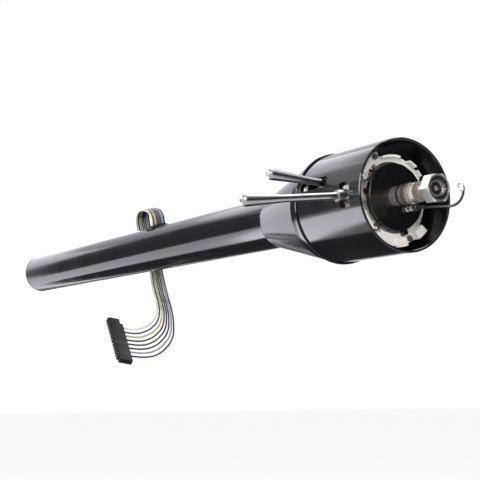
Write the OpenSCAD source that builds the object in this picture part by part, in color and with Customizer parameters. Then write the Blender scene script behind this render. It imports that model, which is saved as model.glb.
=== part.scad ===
// Tilt steering column: a floor-shift column with a tilting head, turn-signal switch,
// turn and tilt levers, horn lead and wiring harness.
// Millimetres. +X runs up the column towards the steering wheel, +Z is up, +Y is the driver's right.
// The origin is on the column axis, in the plane of the clamp that hangs the tube under the dash.

/* [Column tube] */
// Outside diameter of the column tube
tube_d = 50.8; // [46:0.2:56]
// Wall of the column tube
tube_wall = 2.4; // [1.6:0.1:3.6]
// Length of tube below the clamp plane
tube_below = 513; // [420:1:700]
// Length of tube above the clamp plane, up to the tilt support
tube_above = 150; // [130:1:200]

/* [Lower bell] */
// Length of the cone from its small end to the tilt pivot
cone_len = 92; // [86:1:104]
// Wall of the cone
cone_wall = 1.5; // [1:0.1:2.5]
// Height of the cone's small edge over the tube
cone_edge = 0.9; // [0.6:0.1:2]
// Length of the round nose that the cone carries into the bell
nose_len = 15; // [12:0.5:15]

/* [Bell] */
// Outside diameter of the bell
bell_d = 98.7; // [96:0.1:110]
// Wall of the bell
bell_wall = 1.3; // [1:0.1:2]
// Length of the bell from the tilt pivot to its rim
bell_len = 98; // [94:1:115]
// Distance from the tilt pivot to the bell's rear edge
bell_back = 4; // [3:0.5:8]
// Height of the bead round the bell's rear edge
bead_h = 1.6; // [0.8:0.1:3]
// Width of the bead round the bell's rear edge
bead_w = 2; // [1.5:0.1:4]
// Thickness of the lip at the bell's rim
rim_lip = 2.4; // [2:0.1:3.4]
// Depth of the inner web's front face behind the rim
web_depth = 31.5; // [30:0.5:34]
// Thickness of the inner web
web_t = 2.5; // [1.5:0.1:4]

/* [Tilt joint] */
// Distance from the tube's upper end to the tilt pivot
pivot_reach = 52; // [48:1:60]
// Diameter of the two pivot pins
pivot_pin_d = 9; // [7:0.5:12]
// Distance between the inner faces of the support's ears
ear_span = 44; // [43:0.5:48]
// Thickness of an ear of the support, and of the head
ear_t = 6; // [5:0.5:7]
// Radius of the lock teeth round the pivot, at half their height
lock_r = 29.5; // [28.5:0.5:30.5]
// Height of a lock tooth
tooth_h = 1.8; // [1.4:0.1:2]
// Outside diameter of the tilt spring
tilt_spring_d = 14.6; // [12:0.2:15]

/* [Shafts and bearings] */
// Diameter of the lower shaft
lower_shaft_d = 19.05; // [17:0.05:20]
// Length of the lower shaft's stub past the tube's end
stub_len = 39; // [30:1:60]
// Diameter of the upper shaft where the bearings sit
upper_shaft_d = 18; // [17.6:0.1:19]
// Outside diameter of the two head bearings
bearing_d = 42; // [40:0.5:46]
// Width of the two head bearings
bearing_w = 9; // [8:0.5:11]
// Number of balls in each head bearing
ball_count = 12; // [8:1:13]
// Diameter over the teeth of the wheel spline
spline_d = 17.2; // [16.2:0.1:17.4]
// Number of teeth on the wheel spline
spline_teeth = 36; // [24:1:40]
// Distance across the flats of the wheel nut
nut_flats = 22.5; // [20:0.5:23]
// Height of the wheel nut
nut_h = 10; // [8:0.5:14]
// Diameter of the centring ball between the two shafts
ball_joint_d = 26; // [25:0.5:30]

/* [Switch and cam] */
// Diameter of the cancelling cam's disc
cam_d = 58; // [52:0.5:60]
// Depth of the cam's face behind the rim
cam_depth = 12.5; // [11.5:0.5:14]
// Thickness of the cam's disc
cam_t = 5; // [3.5:0.5:5]
// Room between the switch and the bell
switch_room = 6.5; // [5:0.1:8]
// Thickness of the switch plate
switch_plate_t = 4.4; // [3:0.1:5]

/* [Levers and knob] */
// Length of the turn-signal lever from its pivot to its tip
turn_lever_len = 118; // [90:1:160]
// Diameter of the levers' stems
lever_d = 6.4; // [5:0.1:7.5]
// Length of the tilt lever from its pivot to its tip
tilt_lever_len = 71; // [55:1:100]
// Length of the slot for the tilt lever
tilt_slot_len = 40; // [30:1:44]
// Diameter of the hazard knob
hazard_d = 13; // [11:0.5:18]
// Travel of the hazard knob
hazard_travel = 6; // [4:0.5:7]

/* [Harness] */
// Diameter of one harness wire
wire_d = 2.0; // [1.6:0.1:2.2]
// Diameter of the horn lead
horn_wire_d = 2.2; // [1.6:0.1:2.4]
// Length of the flat connector
conn_len = 80; // [72:1:100]
// Depth of the flat connector
conn_depth = 18; // [15:0.5:22]
// Thickness of the flat connector
conn_t = 6; // [5:0.5:10]

/* [Hidden] */
$fn = 64;
over = 1; // how far a cutter reaches past a face
slide_gap = 0.1; // radial room of a piece slid into another
press_gap = 0.02; // radial room of a piece pressed into another
run_gap = 0.05; // radial room of a running fit
move_gap = 0.4; // room between bodies that move past each other
tilt_gap = 0.4; // room between the cone and the bell

tube_r = tube_d / 2;
tube_ri = tube_r - tube_wall;
tube_top = tube_above;
tube_end = -tube_below;
pivot_x = tube_top + pivot_reach;
rim_x = pivot_x + bell_len;
bell_r = bell_d / 2;
bell_ri = bell_r - bell_wall;
web_x = rim_x - web_depth;
web_land = 3;
lip_w = 3;
lip_slope = 1;
bead_bevel = 0.6;
rim_bevel = 0.8;
bead_x = pivot_x + bell_back;

// The cone runs straight from the tube until it meets a ball-shaped nose round the tilt pivot.
cone_x = pivot_x - cone_len;
cone_r = bell_ri - tilt_gap;
cone_join = 8;
cone_join_r = sqrt(cone_r * cone_r - cone_join * cone_join);
cone_small_r = tube_r + cone_edge;
cone_slope = (cone_join_r - cone_small_r) / (cone_len - cone_join);
function cone_out(x) = cone_small_r + (x - cone_x) * cone_slope;
function cone_in(x) = cone_out(x) - cone_wall;

// Tilt support and head.
ear_in = ear_span / 2;
ear_out = ear_in + ear_t;
head_ear_in = ear_out + move_gap;
head_ear_out = head_ear_in + ear_t;
ear_r = 12;
tilt_max = 15; // largest tilt either way, in degrees
tilt_step = 5; // angle between two lock positions, in degrees
sector_half = 20; // half the angle that the fixed teeth cover
tooth_root_half = 1.7; // half the angle of a tooth at its root, and below at its tip
tooth_tip_half = 0.5;
shoe_root_half = 1.2;
shoe_tip_half = 0.4;
sector_side = 2;
sector_foot = 0.8 * ear_r;
pin_r = pivot_pin_d / 2;
flange_t = 8;
spigot_len = 30;
flange_gap = 0.2; // room between the support's flange and the cone
screw_floor = 2;
head_reach = 18;
head_x = pivot_x + head_reach;
head_r = 37.8;
head_front = web_x - web_t;
ear_root = 6;
bearing_room = 0.5;
bolt_hole_len = 10;
bolt_len = 9;
cut_rib = 4;
cut_angles = [270, 345];
cut_span = 35;
pocket_side = 0.6;
pocket_low = 0.81;
pocket_end = 8;
screw_x = tube_top - spigot_len / 2;
screw_r = 2.5;
screw_head_r = 4.5;
screw_head_h = 2.5;
screw_taper = 1;
screw_key_r = 1.6;
bush_len = 18;
pin_hole_len = 6;
pin_hole = 0.45;

// Lower shaft, its bearing and bush.
shaft_r = lower_shaft_d / 2;
bush_r = shaft_r + 2;
lower_bearing_wall = 6.5;
lower_bearing_r = shaft_r + lower_bearing_wall;
plug_len = 25;
plug_flange = 3;
plug_floor = 7;
plug_bore_gap = 3;
bearing_end = tube_end + plug_len - plug_floor;
clip_w = 1.4;
clip_x = tube_end - plug_flange - move_gap - clip_w;
clip_depth = 0.9;
clip_lip = 2.4;
clip_half = 2;
stub_bevel = 1.5;
joint_r = ball_joint_d / 2;
tang_t = 5;
tang_h = 17.6;
tang_sway = 3.8;
tang_ease = 1.5; // how much further than the tilt the upper tang's edge leans, in degrees
tang_gap = 1; // room between the two tangs, and between a shaft and the ball
slot_floor = 0.5;

// Upper shaft and its bearings.
seat_r = upper_shaft_d / 2;
shoulder_h = 1.6;
shoulder_r = seat_r + shoulder_h;
bearing_r = bearing_d / 2;
race_mid = (bearing_r + seat_r) / 2;
ball_r = (bearing_r - seat_r) * 0.235;
race_gap = ball_r * 0.75;
rear_bearing_x = head_x + bearing_room;
front_bearing_x = head_front - bearing_w;
shaft_bore_r = shoulder_r + 2;
tang_root = 5;
end_bevel = 0.6;
snap_depth = 1;
groove_in = 1.1;
groove_slope = 0.4;
neck_len = 4;
centre_len = 4;
centre_r = 3;
centre_tip_r = 0.6;
nut_turn = 37;
nut_bevel = 1.4;
nut_foot = 0.8;
nut_round = 1.7;
nut_dish = 3.6;
nut_dish_w = 3;
cam_hub_w = 4.5;
cam_hub_gap = 1;
cam_bevel = 0.6;
finger_half = 4.5;
finger_in = 3;
cam_spring_wire = 0.8;
cam_spring_turns = 3;
cam_spring_gap = 0.3;
snap_half = 1.5;
cam_x = rim_x - cam_depth;
snap_back = 3;
snap_x = rim_x - snap_back;
snap_w = 1.4;
snap_lip = 0.5;
snap_r = seat_r + snap_lip;
groove_x = rim_x + 8.2;
groove_w = 2.2;
neck_x = rim_x + 12.6;
neck_r = 7.5;
spline_x = rim_x + 17;
spline_len = 15;
spline_r = spline_d / 2;
spline_root = spline_r - 0.75;
nut_x = spline_x + spline_len;
thread_r = 7;
thread_bevel = 1;
thread_short = 4; // depth of the shaft's end below the nut's face
shaft_front = nut_x + nut_h - thread_short;

// Switch, cam and carrier.
switch_r = bell_ri - switch_room;
switch_x = web_x;
deck_x = switch_x + switch_plate_t;
deck_front = cam_x - cam_t - 0.9;
deck_in = cam_d / 2 + 2;
finger_r = cam_d / 2 + 4.5;
finger_angle = -72;
carrier_y = -33;
lever_x = deck_x + 5.6;
turn_slope = 7;
turn_slot_w = 14;
turn_slot_h = 22;
turn_slot_low = -12;
slot_in = 35; // distance from the axis at which the bell's slots are cut
hazard_stem_r = 3.6;
hazard_stem_in = 31.5;
hazard_head_gap = 1.2;
hazard_head_h = 4;
hazard_top_h = 2.5;
hazard_top_in = 1.5;
hub_r = 5.6;
hub_start = 14.3;
hub_len = 9.5;
hub_taper = 0.6;
flare_len = 38;
flare_round = 0.9;
tilt_flare = 1.8;
turn_flare = 2.1;
bolt_ring_r = 31;
bolt_r = 2.5;
bolt_head_r = 4.4;
bolt_head_h = 3.2;
bolt_key_r = 2.4;
bolt_key_floor = 1;
bolt_room = 0.6;
switch_screw_angles = [119, 205, 298];
switch_screw_in = 3.1;
switch_screw_ring = switch_r - switch_screw_in;
switch_screw_r = 1.6;
switch_screw_head_r = 2.9;
switch_screw_top_r = 2.2;
switch_screw_head_h = 1.8;
groove_pitch = 1.6;
groove_half = 0.35;
groove_depth = 0.4;
groove_land = 2;
groove_edge = 6.5;
block_gap = 1.2;
ray_step = 60;
window_lap = 3.5;
window_reach = 8;
carrier_window = 13;
window_deep = 40;
// Each arc of the switch: its two angles, how far it stays inside the full radius and its front face.
switch_arcs = [[32, 118, 5.2, deck_front], [113, 322, 0, deck_front], [-44, 38, 0, deck_x]];
// Each raised block of the switch: its two angles, its reach past the radius and its height over the deck.
switch_blocks = [
    [80, 112, -4.8, 4], [52, 66, -5.6, 6.5], [36, 46, -6, 5],
    [-56, -40, 0.5, 6.5], [-84, -70, 1.5, 2.5], [-120, -95, 1.5, 1],
    [-149, -128, 1, 3], [128, 150, 1, 3],
];
spring_angles = [133, 237];
spring_loop_r = 2.2;
spring_loop_wire = 0.6;
spring_loop_in = 1.4;
post_r = 2.5;
carrier_end = 46;
carrier_r = 6;
carrier_half = 7;
flag_t = 3;
flag_w = 2.5;
flag_in = 2;
flag_drop = 3;
flag_top = 1;
contact_t = 0.45;
contact_w = 3.6;
contact_h = 5;
contact_off = 1.8;
contact_z = 0.5;

// Lock shoe, release arm and tilt lever.
shoe_t = 4.6;
shoe_y1 = -(ball_joint_d / 2 + 0.9);
shoe_y0 = shoe_y1 - shoe_t;
shoe_pin_x = 28.5;
shoe_pin_z = 31;
shoe_pin_r = 2.5;
shoe_boss_r = 4.6;
shoe_pin_end = -8;
shoe_back = 5;
shoe_top = 2;
tail_low = -3;
tail_end = 42;
tail_slope_x = 4.1;
tail_slope_z = 3;
tail_top = 2.5;
arm_back = 2;
arm_x = pivot_x + tail_end - arm_back;
arm_y = -31;
arm_z = 13.7;
arm_pin_r = 2.5;
arm_h = 13;
arm_r = 6.5;
arm_half = 5.5;
release_back = 10;
release_front = 13;
release_low = 9.5;
release_in = 9.5;
bridge_half = 3;
bridge_in = 3.5;
bridge_deep = 5;
bridge_t = 3;
bridge_gap = 0.7;
slope_gap = 0.7;
finger_t = 2;
finger_root = 0.5;
finger_side = 0.5;
stud_hole = 4;
arm_len = 10;
stud_r = lever_d / 2 - 0.5;
stud_in = 5;
release_pin_z = -12;
tilt_rise = 3;
slot_lead = 9;
tilt_slot_front = arm_x + slot_lead;
tilt_slot_w = 10;
tilt_slot_z = 15;
spring_z = -28;
spring_r = tilt_spring_d / 2;
spring_wire_r = 1;
spring_core_r = spring_r - 2 * spring_wire_r - move_gap;
spring_turns = 7;
spring_seat_h = 10;
spring_seat_lip = 0.7;
spring_post_len = 9;
spring_cup_t = 2.5;
spring_cup_lip = 1.2;
spring_cup_post = 5.5;
spring_seat_x = tube_top + flange_t + spring_seat_h;
spring_end_x = head_x - spring_cup_t;

// Horn contact in front of the cam, below the shaft.
horn_r = 2.8;
horn_gap = 0.3;
horn_z = -(snap_r + horn_r + horn_gap);
horn_tower_len = 10;
horn_contact_len = 13.5;
horn_contact_r = 2.2;
horn_collar_len = 3.5;
horn_neck_r = horn_contact_r - 0.7;
horn_edge = 0.4;
horn_round = 0.8;
horn_wire_x = cam_x + horn_tower_len + horn_contact_len + horn_collar_len;

// Route of the horn lead, from its collar to its eyelet.
horn_route = [
    [horn_wire_x, 0, horn_z], [horn_wire_x + 7, 0, horn_z - 1], [horn_wire_x + 17, 0, horn_z - 2],
    [horn_wire_x + 28, 1, horn_z - 3], [horn_wire_x + 37, 1, horn_z - 4], [horn_wire_x + 44, 1, horn_z - 4],
    [horn_wire_x + 50, 1, horn_z - 2], [horn_wire_x + 54, 1, horn_z + 2], [horn_wire_x + 55, 1, horn_z + 6],
];
eyelet_r = 3;
eyelet_wire_r = 0.7;
eyelet_wall = 0.3;
eyelet_len = 3.5;

// Harness: the routes of the first and the last wire of the flat ribbon; the others lie evenly between.
harness_x = -146;
grommet_lean = 12;
grommet_l = 9;
grommet_w = 20;
grommet_lip = 2.6;
grommet_lip_l = 6;
grommet_lip_w = 5;
grommet_reach = 20;
grommet_depth = 8;
passage_room = 1.2;
passage_side = 2.6;
wire_names = ["white", "green", "yellow", "brown", "purple", "blue", "sky", "black"];
wire_count = len(wire_names);
ribbon_rings = 12;
route_first = [
    [-146, -13, 22], [-147, -13, 30], [-155, -12, 40], [-172, -9, 46], [-193, -4, 49], [-213, 2, 49],
    [-229, 8, 43], [-239, 15, 32], [-241, 22, 17], [-237, 28, 2], [-230, 27, -13],
    [-207, 20, -44], [-195, 18, -58], [-190, 17, -69], [-193, 16, -79], [-203, 14, -86], [-215, 11, -90],
    [-225, 5, -92], [-230, -12, -90],
];
route_last = [
    [-146, 3, 25], [-147, 3, 33], [-155, 4, 43], [-171, 6, 49], [-191, 10, 52], [-209, 15, 51],
    [-221, 20, 45], [-227, 26, 34], [-228, 32, 18], [-224, 37, 2], [-217, 36, -14],
    [-189, 30, -50], [-172, 27, -70], [-161, 24, -89], [-158, 21, -104], [-163, 16, -115], [-172, 9, -123],
    [-182, 1, -126], [-190, -20, -125],
];
conn_pos = [-210, -23, -106];
conn_turn = [-12, 40, -12];
conn_split = 0.58;
conn_rib_pitch = 5;
conn_rib = 2;
conn_key_len = 9;
conn_key = 3;
conn_cut = -conn_len / 2 + conn_len * conn_split;

// Shared shapes

// Turns a child that stands along Z so that it lies along X from the place x.
module on_x(x) {
    translate([x, 0, 0]) rotate([0, 90, 0]) children();
}

// A round bar along X.
module bar_x(x0, x1, r) {
    on_x(x0) cylinder(r = r, h = x1 - x0);
}

// A round tube along X.
module ring_x(x0, x1, ro, ri) {
    difference() {
        bar_x(x0, x1, ro);
        bar_x(x0 - over, x1 + over, ri);
    }
}

// A solid turned about X from a profile of [x, radius] points.
module turned_x(profile) {
    rotate([0, 90, 0]) rotate_extrude() polygon([for (p = profile) [p[1], p[0]]]);
}

// A flat plate in the X-Z plane, from y0 to y1, drawn round the tilt pivot.
module pivot_plate(y0, y1) {
    translate([pivot_x, y1, 0]) rotate([90, 0, 0]) linear_extrude(y1 - y0) children();
}

// A slice of a ring round X between two angles, measured from +Y towards +Z.
module ring_slice(x0, x1, r0, r1, a0, a1, steps = 8) {
    inner = [for (i = [0:steps]) let (a = a0 + (a1 - a0) * i / steps) r0 * [cos(a), sin(a)]];
    outer = [for (i = [steps:-1:0]) let (a = a0 + (a1 - a0) * i / steps) r1 * [cos(a), sin(a)]];
    translate([x0, 0, 0]) rotate([90, 0, 90]) linear_extrude(x1 - x0) polygon(concat(inner, outer));
}

// Part of a ring between two angles, with round walls.
module ring_arc(x0, x1, r0, r1, a0, a1) {
    far = 2 * r1;
    steps = ceil((a1 - a0) / ray_step);
    rays = [for (i = [0:steps]) let (a = a0 + (a1 - a0) * i / steps) far * [cos(a), sin(a)]];
    intersection() {
        ring_x(x0, x1, r1, r0);
        translate([x0 - over, 0, 0]) rotate([90, 0, 90]) linear_extrude(x1 - x0 + 2 * over)
            polygon(concat([[0, 0]], rays));
    }
}

// Direction of a route at one of its points.
function along(route, i) = let (d = route[min(i + 1, len(route) - 1)] - route[max(i - 1, 0)]) d / norm(d);
// Direction square to the route that lies nearest to the one asked for.
function square_to(t, across) = let (s = across - (across * t) * t) s / norm(s);
// Corners of a ring that stands square on a route.
function ring_points(p, u, v, r, sides) =
    [for (k = [0:sides - 1]) p + r * (cos(360 * k / sides) * u + sin(360 * k / sides) * v)];
// Faces of a closed tube of rings, in triangles.
function tube_faces(rings, sides) = concat(
    [[for (k = [0:sides - 1]) k]],
    [for (i = [0:rings - 2]) for (k = [0:sides - 1])
        let (a = i * sides + k, b = i * sides + (k + 1) % sides)
        each [[a, a + sides, b + sides], [a, b + sides, b]]],
    [[for (k = [sides - 1:-1:0]) (rings - 1) * sides + k]]
);

// A round cord swept along a route; across holds a direction at each point that keeps the rings in line.
module cord(route, across, d, sides = 8) {
    points = [for (i = [0:len(route) - 1])
        let (t = along(route, i), u = square_to(t, across[i]), v = cross(u, t))
        each ring_points(route[i], u, v, d / 2, sides)];
    polyhedron(points, tube_faces(len(route), sides));
}

// A coil spring along X.
module coil_x(x0, x1, mid_r, wire_r, turns, steps = 12) {
    rings = turns * steps;
    rise = (x1 - x0 - 2 * wire_r) / rings;
    route = [for (i = [0:rings]) let (a = 360 * i / steps)
        [x0 + wire_r + rise * i, mid_r * cos(a), mid_r * sin(a)]];
    cord(route, [for (p = route) [1, 0, 0]], 2 * wire_r);
}

// Column tube and its lower end

module grommet_place(x_size, y_size, r0, r1) {
    translate([harness_x, 0, 0]) rotate([grommet_lean, 0, 0])
        translate([-x_size / 2, -y_size / 2, r0]) cube([x_size, y_size, r1 - r0]);
}

module support_screw_places() {
    for (a = [90, 210, 330]) rotate([a, 0, 0]) translate([screw_x, 0, 0]) children();
}

module column_tube() {
    color("#17181b") difference() {
        ring_x(tube_end, tube_top, tube_r, tube_ri);
        grommet_place(grommet_l, grommet_w, tube_ri - grommet_depth, tube_r + over);
        support_screw_places() cylinder(r = screw_r + slide_gap, h = tube_r + over);
    }
}

// Plug that closes the tube's lower end and holds the shaft's bearing.
module end_plug() {
    color("#3a3b3e") difference() {
        union() {
            bar_x(tube_end - plug_flange, tube_end, tube_r);
            bar_x(tube_end, tube_end + plug_len, tube_ri - slide_gap);
        }
        bar_x(tube_end - plug_flange - over, bearing_end, lower_bearing_r + press_gap);
        bar_x(bearing_end - over, tube_end + plug_len + over, shaft_r + plug_bore_gap);
    }
}

module lower_bearing() {
    color("#8d9096") ring_x(tube_end - plug_flange, bearing_end, lower_bearing_r, shaft_r + run_gap);
}

// Rubber grommet in the harness slot: a lip that follows the tube, and a neck through its wall.
module harness_grommet() {
    passage_l = wire_d + passage_room;
    passage_w = grommet_w - passage_side;
    neck_l = grommet_l - 2 * slide_gap;
    neck_w = grommet_w - 2 * slide_gap;
    top = tube_r + grommet_reach;
    x0 = harness_x - grommet_reach;
    x1 = harness_x + grommet_reach;
    color("#101011") difference() {
        union() {
            intersection() {
                ring_x(x0, x1, tube_r + grommet_lip, tube_r + slide_gap);
                grommet_place(grommet_l + grommet_lip_l, grommet_w + grommet_lip_w, 0, top);
            }
            intersection() {
                bar_x(x0, x1, tube_r + grommet_lip / 2);
                grommet_place(neck_l, neck_w, tube_ri - grommet_depth, top);
            }
        }
        grommet_place(passage_l, passage_w, 0, top + over);
    }
}

// Lower bell

module lower_bell() {
    steps = 8;
    at = function (i) (nose_len + cone_join) * i / steps - cone_join;
    arc = function (r, i) [pivot_x + at(i), sqrt(r * r - at(i) * at(i))];
    inner_r = tube_r + slide_gap;
    inner_x = cone_x + (inner_r + cone_wall - cone_small_r) / cone_slope;
    outer = [for (i = [0:steps]) arc(cone_r, i)];
    inner = [for (i = [steps:-1:0]) arc(cone_r - cone_wall, i)];
    small_end = [[inner_x, inner_r], [cone_x, inner_r], [cone_x, cone_small_r]];
    color("#17181b") turned_x(concat(small_end, outer, inner));
}

// Tilt support: a casting in the tube's upper end with two ears, the lock teeth and the spring post

// One tooth of the fixed sector, as [angle, radius] corners round a middle angle.
function sector_tooth(a) = [
    [a - tooth_root_half, lock_r - tooth_h / 2], [a - tooth_tip_half, lock_r + tooth_h / 2],
    [a + tooth_tip_half, lock_r + tooth_h / 2], [a + tooth_root_half, lock_r - tooth_h / 2],
];
// One tooth of the shoe, which points the other way.
function shoe_tooth(a) = let (root_r = lock_r + tooth_h / 2 + move_gap, tip_r = root_r - tooth_h) [
    [a - shoe_root_half, root_r], [a - shoe_tip_half, tip_r],
    [a + shoe_tip_half, tip_r], [a + shoe_root_half, root_r],
];
function polar(p) = p[1] * [cos(p[0]), sin(p[0])];

module ear_outline() {
    circle(r = ear_r);
    length = pivot_reach - flange_t + over;
    translate([-length, -ear_r]) square([length, 2 * ear_r]);
}

module lock_sector() {
    teeth = [for (a = [90 - sector_half:tilt_step:90 + sector_half]) each sector_tooth(a)];
    root_r = lock_r - tooth_h / 2;
    side = sector_half + sector_side;
    corners = concat([[90 - side, root_r]], teeth, [[90 + side, root_r]]);
    polygon(concat([for (p = corners) polar(p)], [[-sector_foot, 0], [sector_foot, 0]]));
}

module tilt_support() {
    flange_x = tube_top + flange_t;
    flange_r0 = cone_in(tube_top) - flange_gap;
    flange_r1 = cone_in(flange_x) - flange_gap;
    color("#8f9296") difference() {
        union() {
            bar_x(tube_top - spigot_len, tube_top, tube_ri - slide_gap);
            on_x(tube_top) cylinder(r1 = flange_r0, r2 = flange_r1, h = flange_t);
            pivot_plate(ear_in, ear_out) ear_outline();
            pivot_plate(-ear_out, -ear_in) ear_outline();
            pivot_plate(-ear_in - over, shoe_y1) circle(r = ear_r);
            pivot_plate(shoe_y0, shoe_y1) lock_sector();
            translate([0, 0, spring_z]) bar_x(flange_x - over, spring_seat_x, spring_r + spring_seat_lip);
            translate([0, 0, spring_z]) bar_x(flange_x, spring_seat_x + spring_post_len, spring_core_r);
        }
        bar_x(tube_top - spigot_len - over, flange_x + over, bush_r + press_gap);
        pivot_plate(-ear_out - over, ear_out + over) circle(r = pin_r + press_gap);
        support_screw_places() translate([0, 0, bush_r + screw_floor])
            cylinder(r = screw_r + press_gap, h = tube_r);
    }
}

module support_screws() {
    screw_tip = bush_r + screw_floor + over;
    color("#55585c") support_screw_places() {
        translate([0, 0, screw_tip]) cylinder(r = screw_r, h = tube_r - screw_tip + press_gap);
        translate([0, 0, tube_r + press_gap]) difference() {
            cylinder(r1 = screw_head_r, r2 = screw_head_r - screw_taper, h = screw_head_h);
            translate([0, 0, screw_head_h / 2]) cylinder(r = screw_key_r, h = screw_head_h, $fn = 6);
        }
    }
}

module support_bush() {
    color("#d9d4c4") ring_x(tube_top + flange_t - bush_len, tube_top + flange_t, bush_r, shaft_r + run_gap);
}

module pivot_pins() {
    length = head_ear_out - ear_in;
    color("#b9bcc0") for (s = [0, 180]) rotate([0, 0, s]) {
        mirror_x = s == 0 ? pivot_x : -pivot_x;
        translate([mirror_x, ear_in, 0]) rotate([-90, 0, 0]) difference() {
            cylinder(r = pin_r, h = length);
            translate([0, 0, length - pin_hole_len])
                cylinder(r = pin_r * pin_hole, h = pin_hole_len + over);
        }
    }
}

module tilt_spring() {
    color("#9ea2a6") translate([0, 0, spring_z])
        coil_x(spring_seat_x, spring_end_x, spring_r - spring_wire_r, spring_wire_r, spring_turns);
}

module spring_cup() {
    color("#6d7074") translate([0, 0, spring_z]) {
        bar_x(spring_end_x, head_x, spring_r + spring_cup_lip);
        bar_x(spring_end_x - spring_cup_post, spring_end_x + over, spring_core_r);
    }
}

// Tilting head

module head_ears() {
    for (y = [head_ear_in, -head_ear_out]) pivot_plate(y, y + ear_t) {
        circle(r = ear_r);
        translate([0, -ear_r]) square([head_reach + ear_root, 2 * ear_r]);
    }
}

module bolt_places() {
    for (a = [45, 135, 225, 315]) rotate([a, 0, 0]) translate([0, bolt_ring_r, 0]) children();
}

module shoe_pocket() {
    translate([head_x - over, shoe_y0 - pocket_side, bearing_r * pocket_low])
        cube([pivot_x + tail_end + pocket_end - head_x, shoe_t + 2 * pocket_side, head_r]);
}

module release_pocket() {
    translate([arm_x - release_back, -head_r - over, arm_z - release_low])
        cube([release_back + release_front, head_r + over + arm_y + release_in, head_r]);
}

module shoe_pin_place(r, y0, y1) {
    translate([pivot_x + shoe_pin_x, y0, shoe_pin_z]) rotate([-90, 0, 0]) cylinder(r = r, h = y1 - y0);
}

module head_housing() {
    color("#a3a6aa") difference() {
        union() {
            bar_x(head_x, head_front, head_r);
            head_ears();
        }
        bar_x(head_x - over, head_front + over, shaft_bore_r);
        bar_x(front_bearing_x - bearing_room, head_front + over, bearing_r + press_gap);
        bar_x(head_x - over, rear_bearing_x + bearing_w + bearing_room, bearing_r + press_gap);
        pivot_plate(-head_ear_out - over, head_ear_out + over) circle(r = pin_r + run_gap);
        shoe_pocket();
        release_pocket();
        shoe_pin_place(shoe_pin_r + press_gap, -head_r, shoe_pin_end);
        translate([arm_x, arm_y, release_pin_z]) cylinder(r = arm_pin_r + press_gap, h = head_r);
        bolt_places() bar_x(head_front - bolt_hole_len, head_front + over, bolt_r + press_gap);
        for (a = cut_angles) ring_cut(a);
    }
}

// A lightening pocket in the casting's flank, with walls left at both ends.
module ring_cut(a) {
    x0 = rear_bearing_x + bearing_w + bearing_room + cut_rib;
    x1 = front_bearing_x - cut_rib;
    ring_slice(x0, x1, bearing_r + cut_rib, head_r + over, a, a + cut_span);
}

module bell_slots() {
    slot_r = tilt_slot_w / 2;
    translate([lever_x - turn_slot_w / 2, -bell_r - over, turn_slot_low])
        cube([turn_slot_w, bell_r - slot_in, turn_slot_h]);
    for (x = [tilt_slot_front - tilt_slot_len + slot_r, tilt_slot_front - slot_r])
        translate([x, -slot_in, tilt_slot_z]) rotate([90, 0, 0]) cylinder(r = slot_r, h = bell_r);
    translate([tilt_slot_front - tilt_slot_len + slot_r, -bell_r - over, tilt_slot_z - slot_r])
        cube([tilt_slot_len - 2 * slot_r, bell_r - slot_in, tilt_slot_w]);
    translate([lever_x, slot_in, 0]) rotate([-90, 0, 0]) cylinder(r = hazard_stem_r + run_gap, h = bell_r);
}

// The bell: a spun shell with a bead at the back, a lip at the rim and a web inside.
module bell() {
    bead_r = bell_r + bead_h;
    lip_ri = bell_r - rim_lip;
    web_ri = bearing_r + web_land;
    bead_end = bead_x + bead_w;
    profile = [
        [bead_x, bell_ri], [bead_x, bead_r - bead_bevel], [bead_x + bead_bevel, bead_r],
        [bead_end - bead_bevel, bead_r], [bead_end, bead_r - bead_bevel], [bead_end, bell_r],
        [rim_x - rim_bevel, bell_r], [rim_x, bell_r - rim_bevel], [rim_x, lip_ri + bead_bevel],
        [rim_x - bead_bevel, lip_ri], [rim_x - lip_w, lip_ri], [rim_x - lip_w - lip_slope, bell_ri],
        [web_x, bell_ri], [web_x, web_ri], [web_x - web_t, web_ri], [web_x - web_t, bell_ri],
    ];
    color("#17181b") difference() {
        turned_x(profile);
        bell_slots();
        bolt_places() bar_x(web_x - web_t - over, web_x + over, bolt_r + slide_gap);
        for (a = switch_screw_angles) rotate([a, 0, 0]) translate([0, switch_screw_ring, 0])
            bar_x(web_x - web_t - over, web_x + over, switch_screw_r + press_gap);
    }
}

module housing_bolts() {
    color("#85888c") bolt_places() {
        bar_x(head_front - bolt_len, web_x, bolt_r);
        difference() {
            bar_x(web_x, web_x + bolt_head_h, bolt_head_r);
            on_x(web_x + bolt_key_floor) cylinder(r = bolt_key_r, h = bolt_head_h, $fn = 6);
        }
    }
}

// Ball bearings: outer race, inner race and balls
module race_cup(x) {
    difference() {
        ring_x(x, x + bearing_w, bearing_r, race_mid + race_gap);
        on_x(x + bearing_w / 2) rotate_extrude() translate([race_mid, 0]) circle(r = ball_r + run_gap);
    }
}
module race_cone(x) {
    difference() {
        ring_x(x, x + bearing_w, race_mid - race_gap, seat_r + press_gap);
        on_x(x + bearing_w / 2) rotate_extrude() translate([race_mid, 0]) circle(r = ball_r + run_gap);
    }
}
module race_balls(x) {
    for (i = [0:ball_count - 1]) rotate([360 * i / ball_count, 0, 0])
        translate([x + bearing_w / 2, race_mid, 0]) sphere(r = ball_r);
}
module front_bearing_cup() { color("#c4c7ca") race_cup(front_bearing_x); }
module front_bearing_balls() { color("#e0e2e4") race_balls(front_bearing_x); }
module front_bearing_cone() { color("#c4c7ca") race_cone(front_bearing_x); }
module rear_bearing_cup() { color("#c4c7ca") race_cup(rear_bearing_x); }
module rear_bearing_balls() { color("#e0e2e4") race_balls(rear_bearing_x); }
module rear_bearing_cone() { color("#c4c7ca") race_cone(rear_bearing_x); }

// Lock shoe and release

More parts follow.
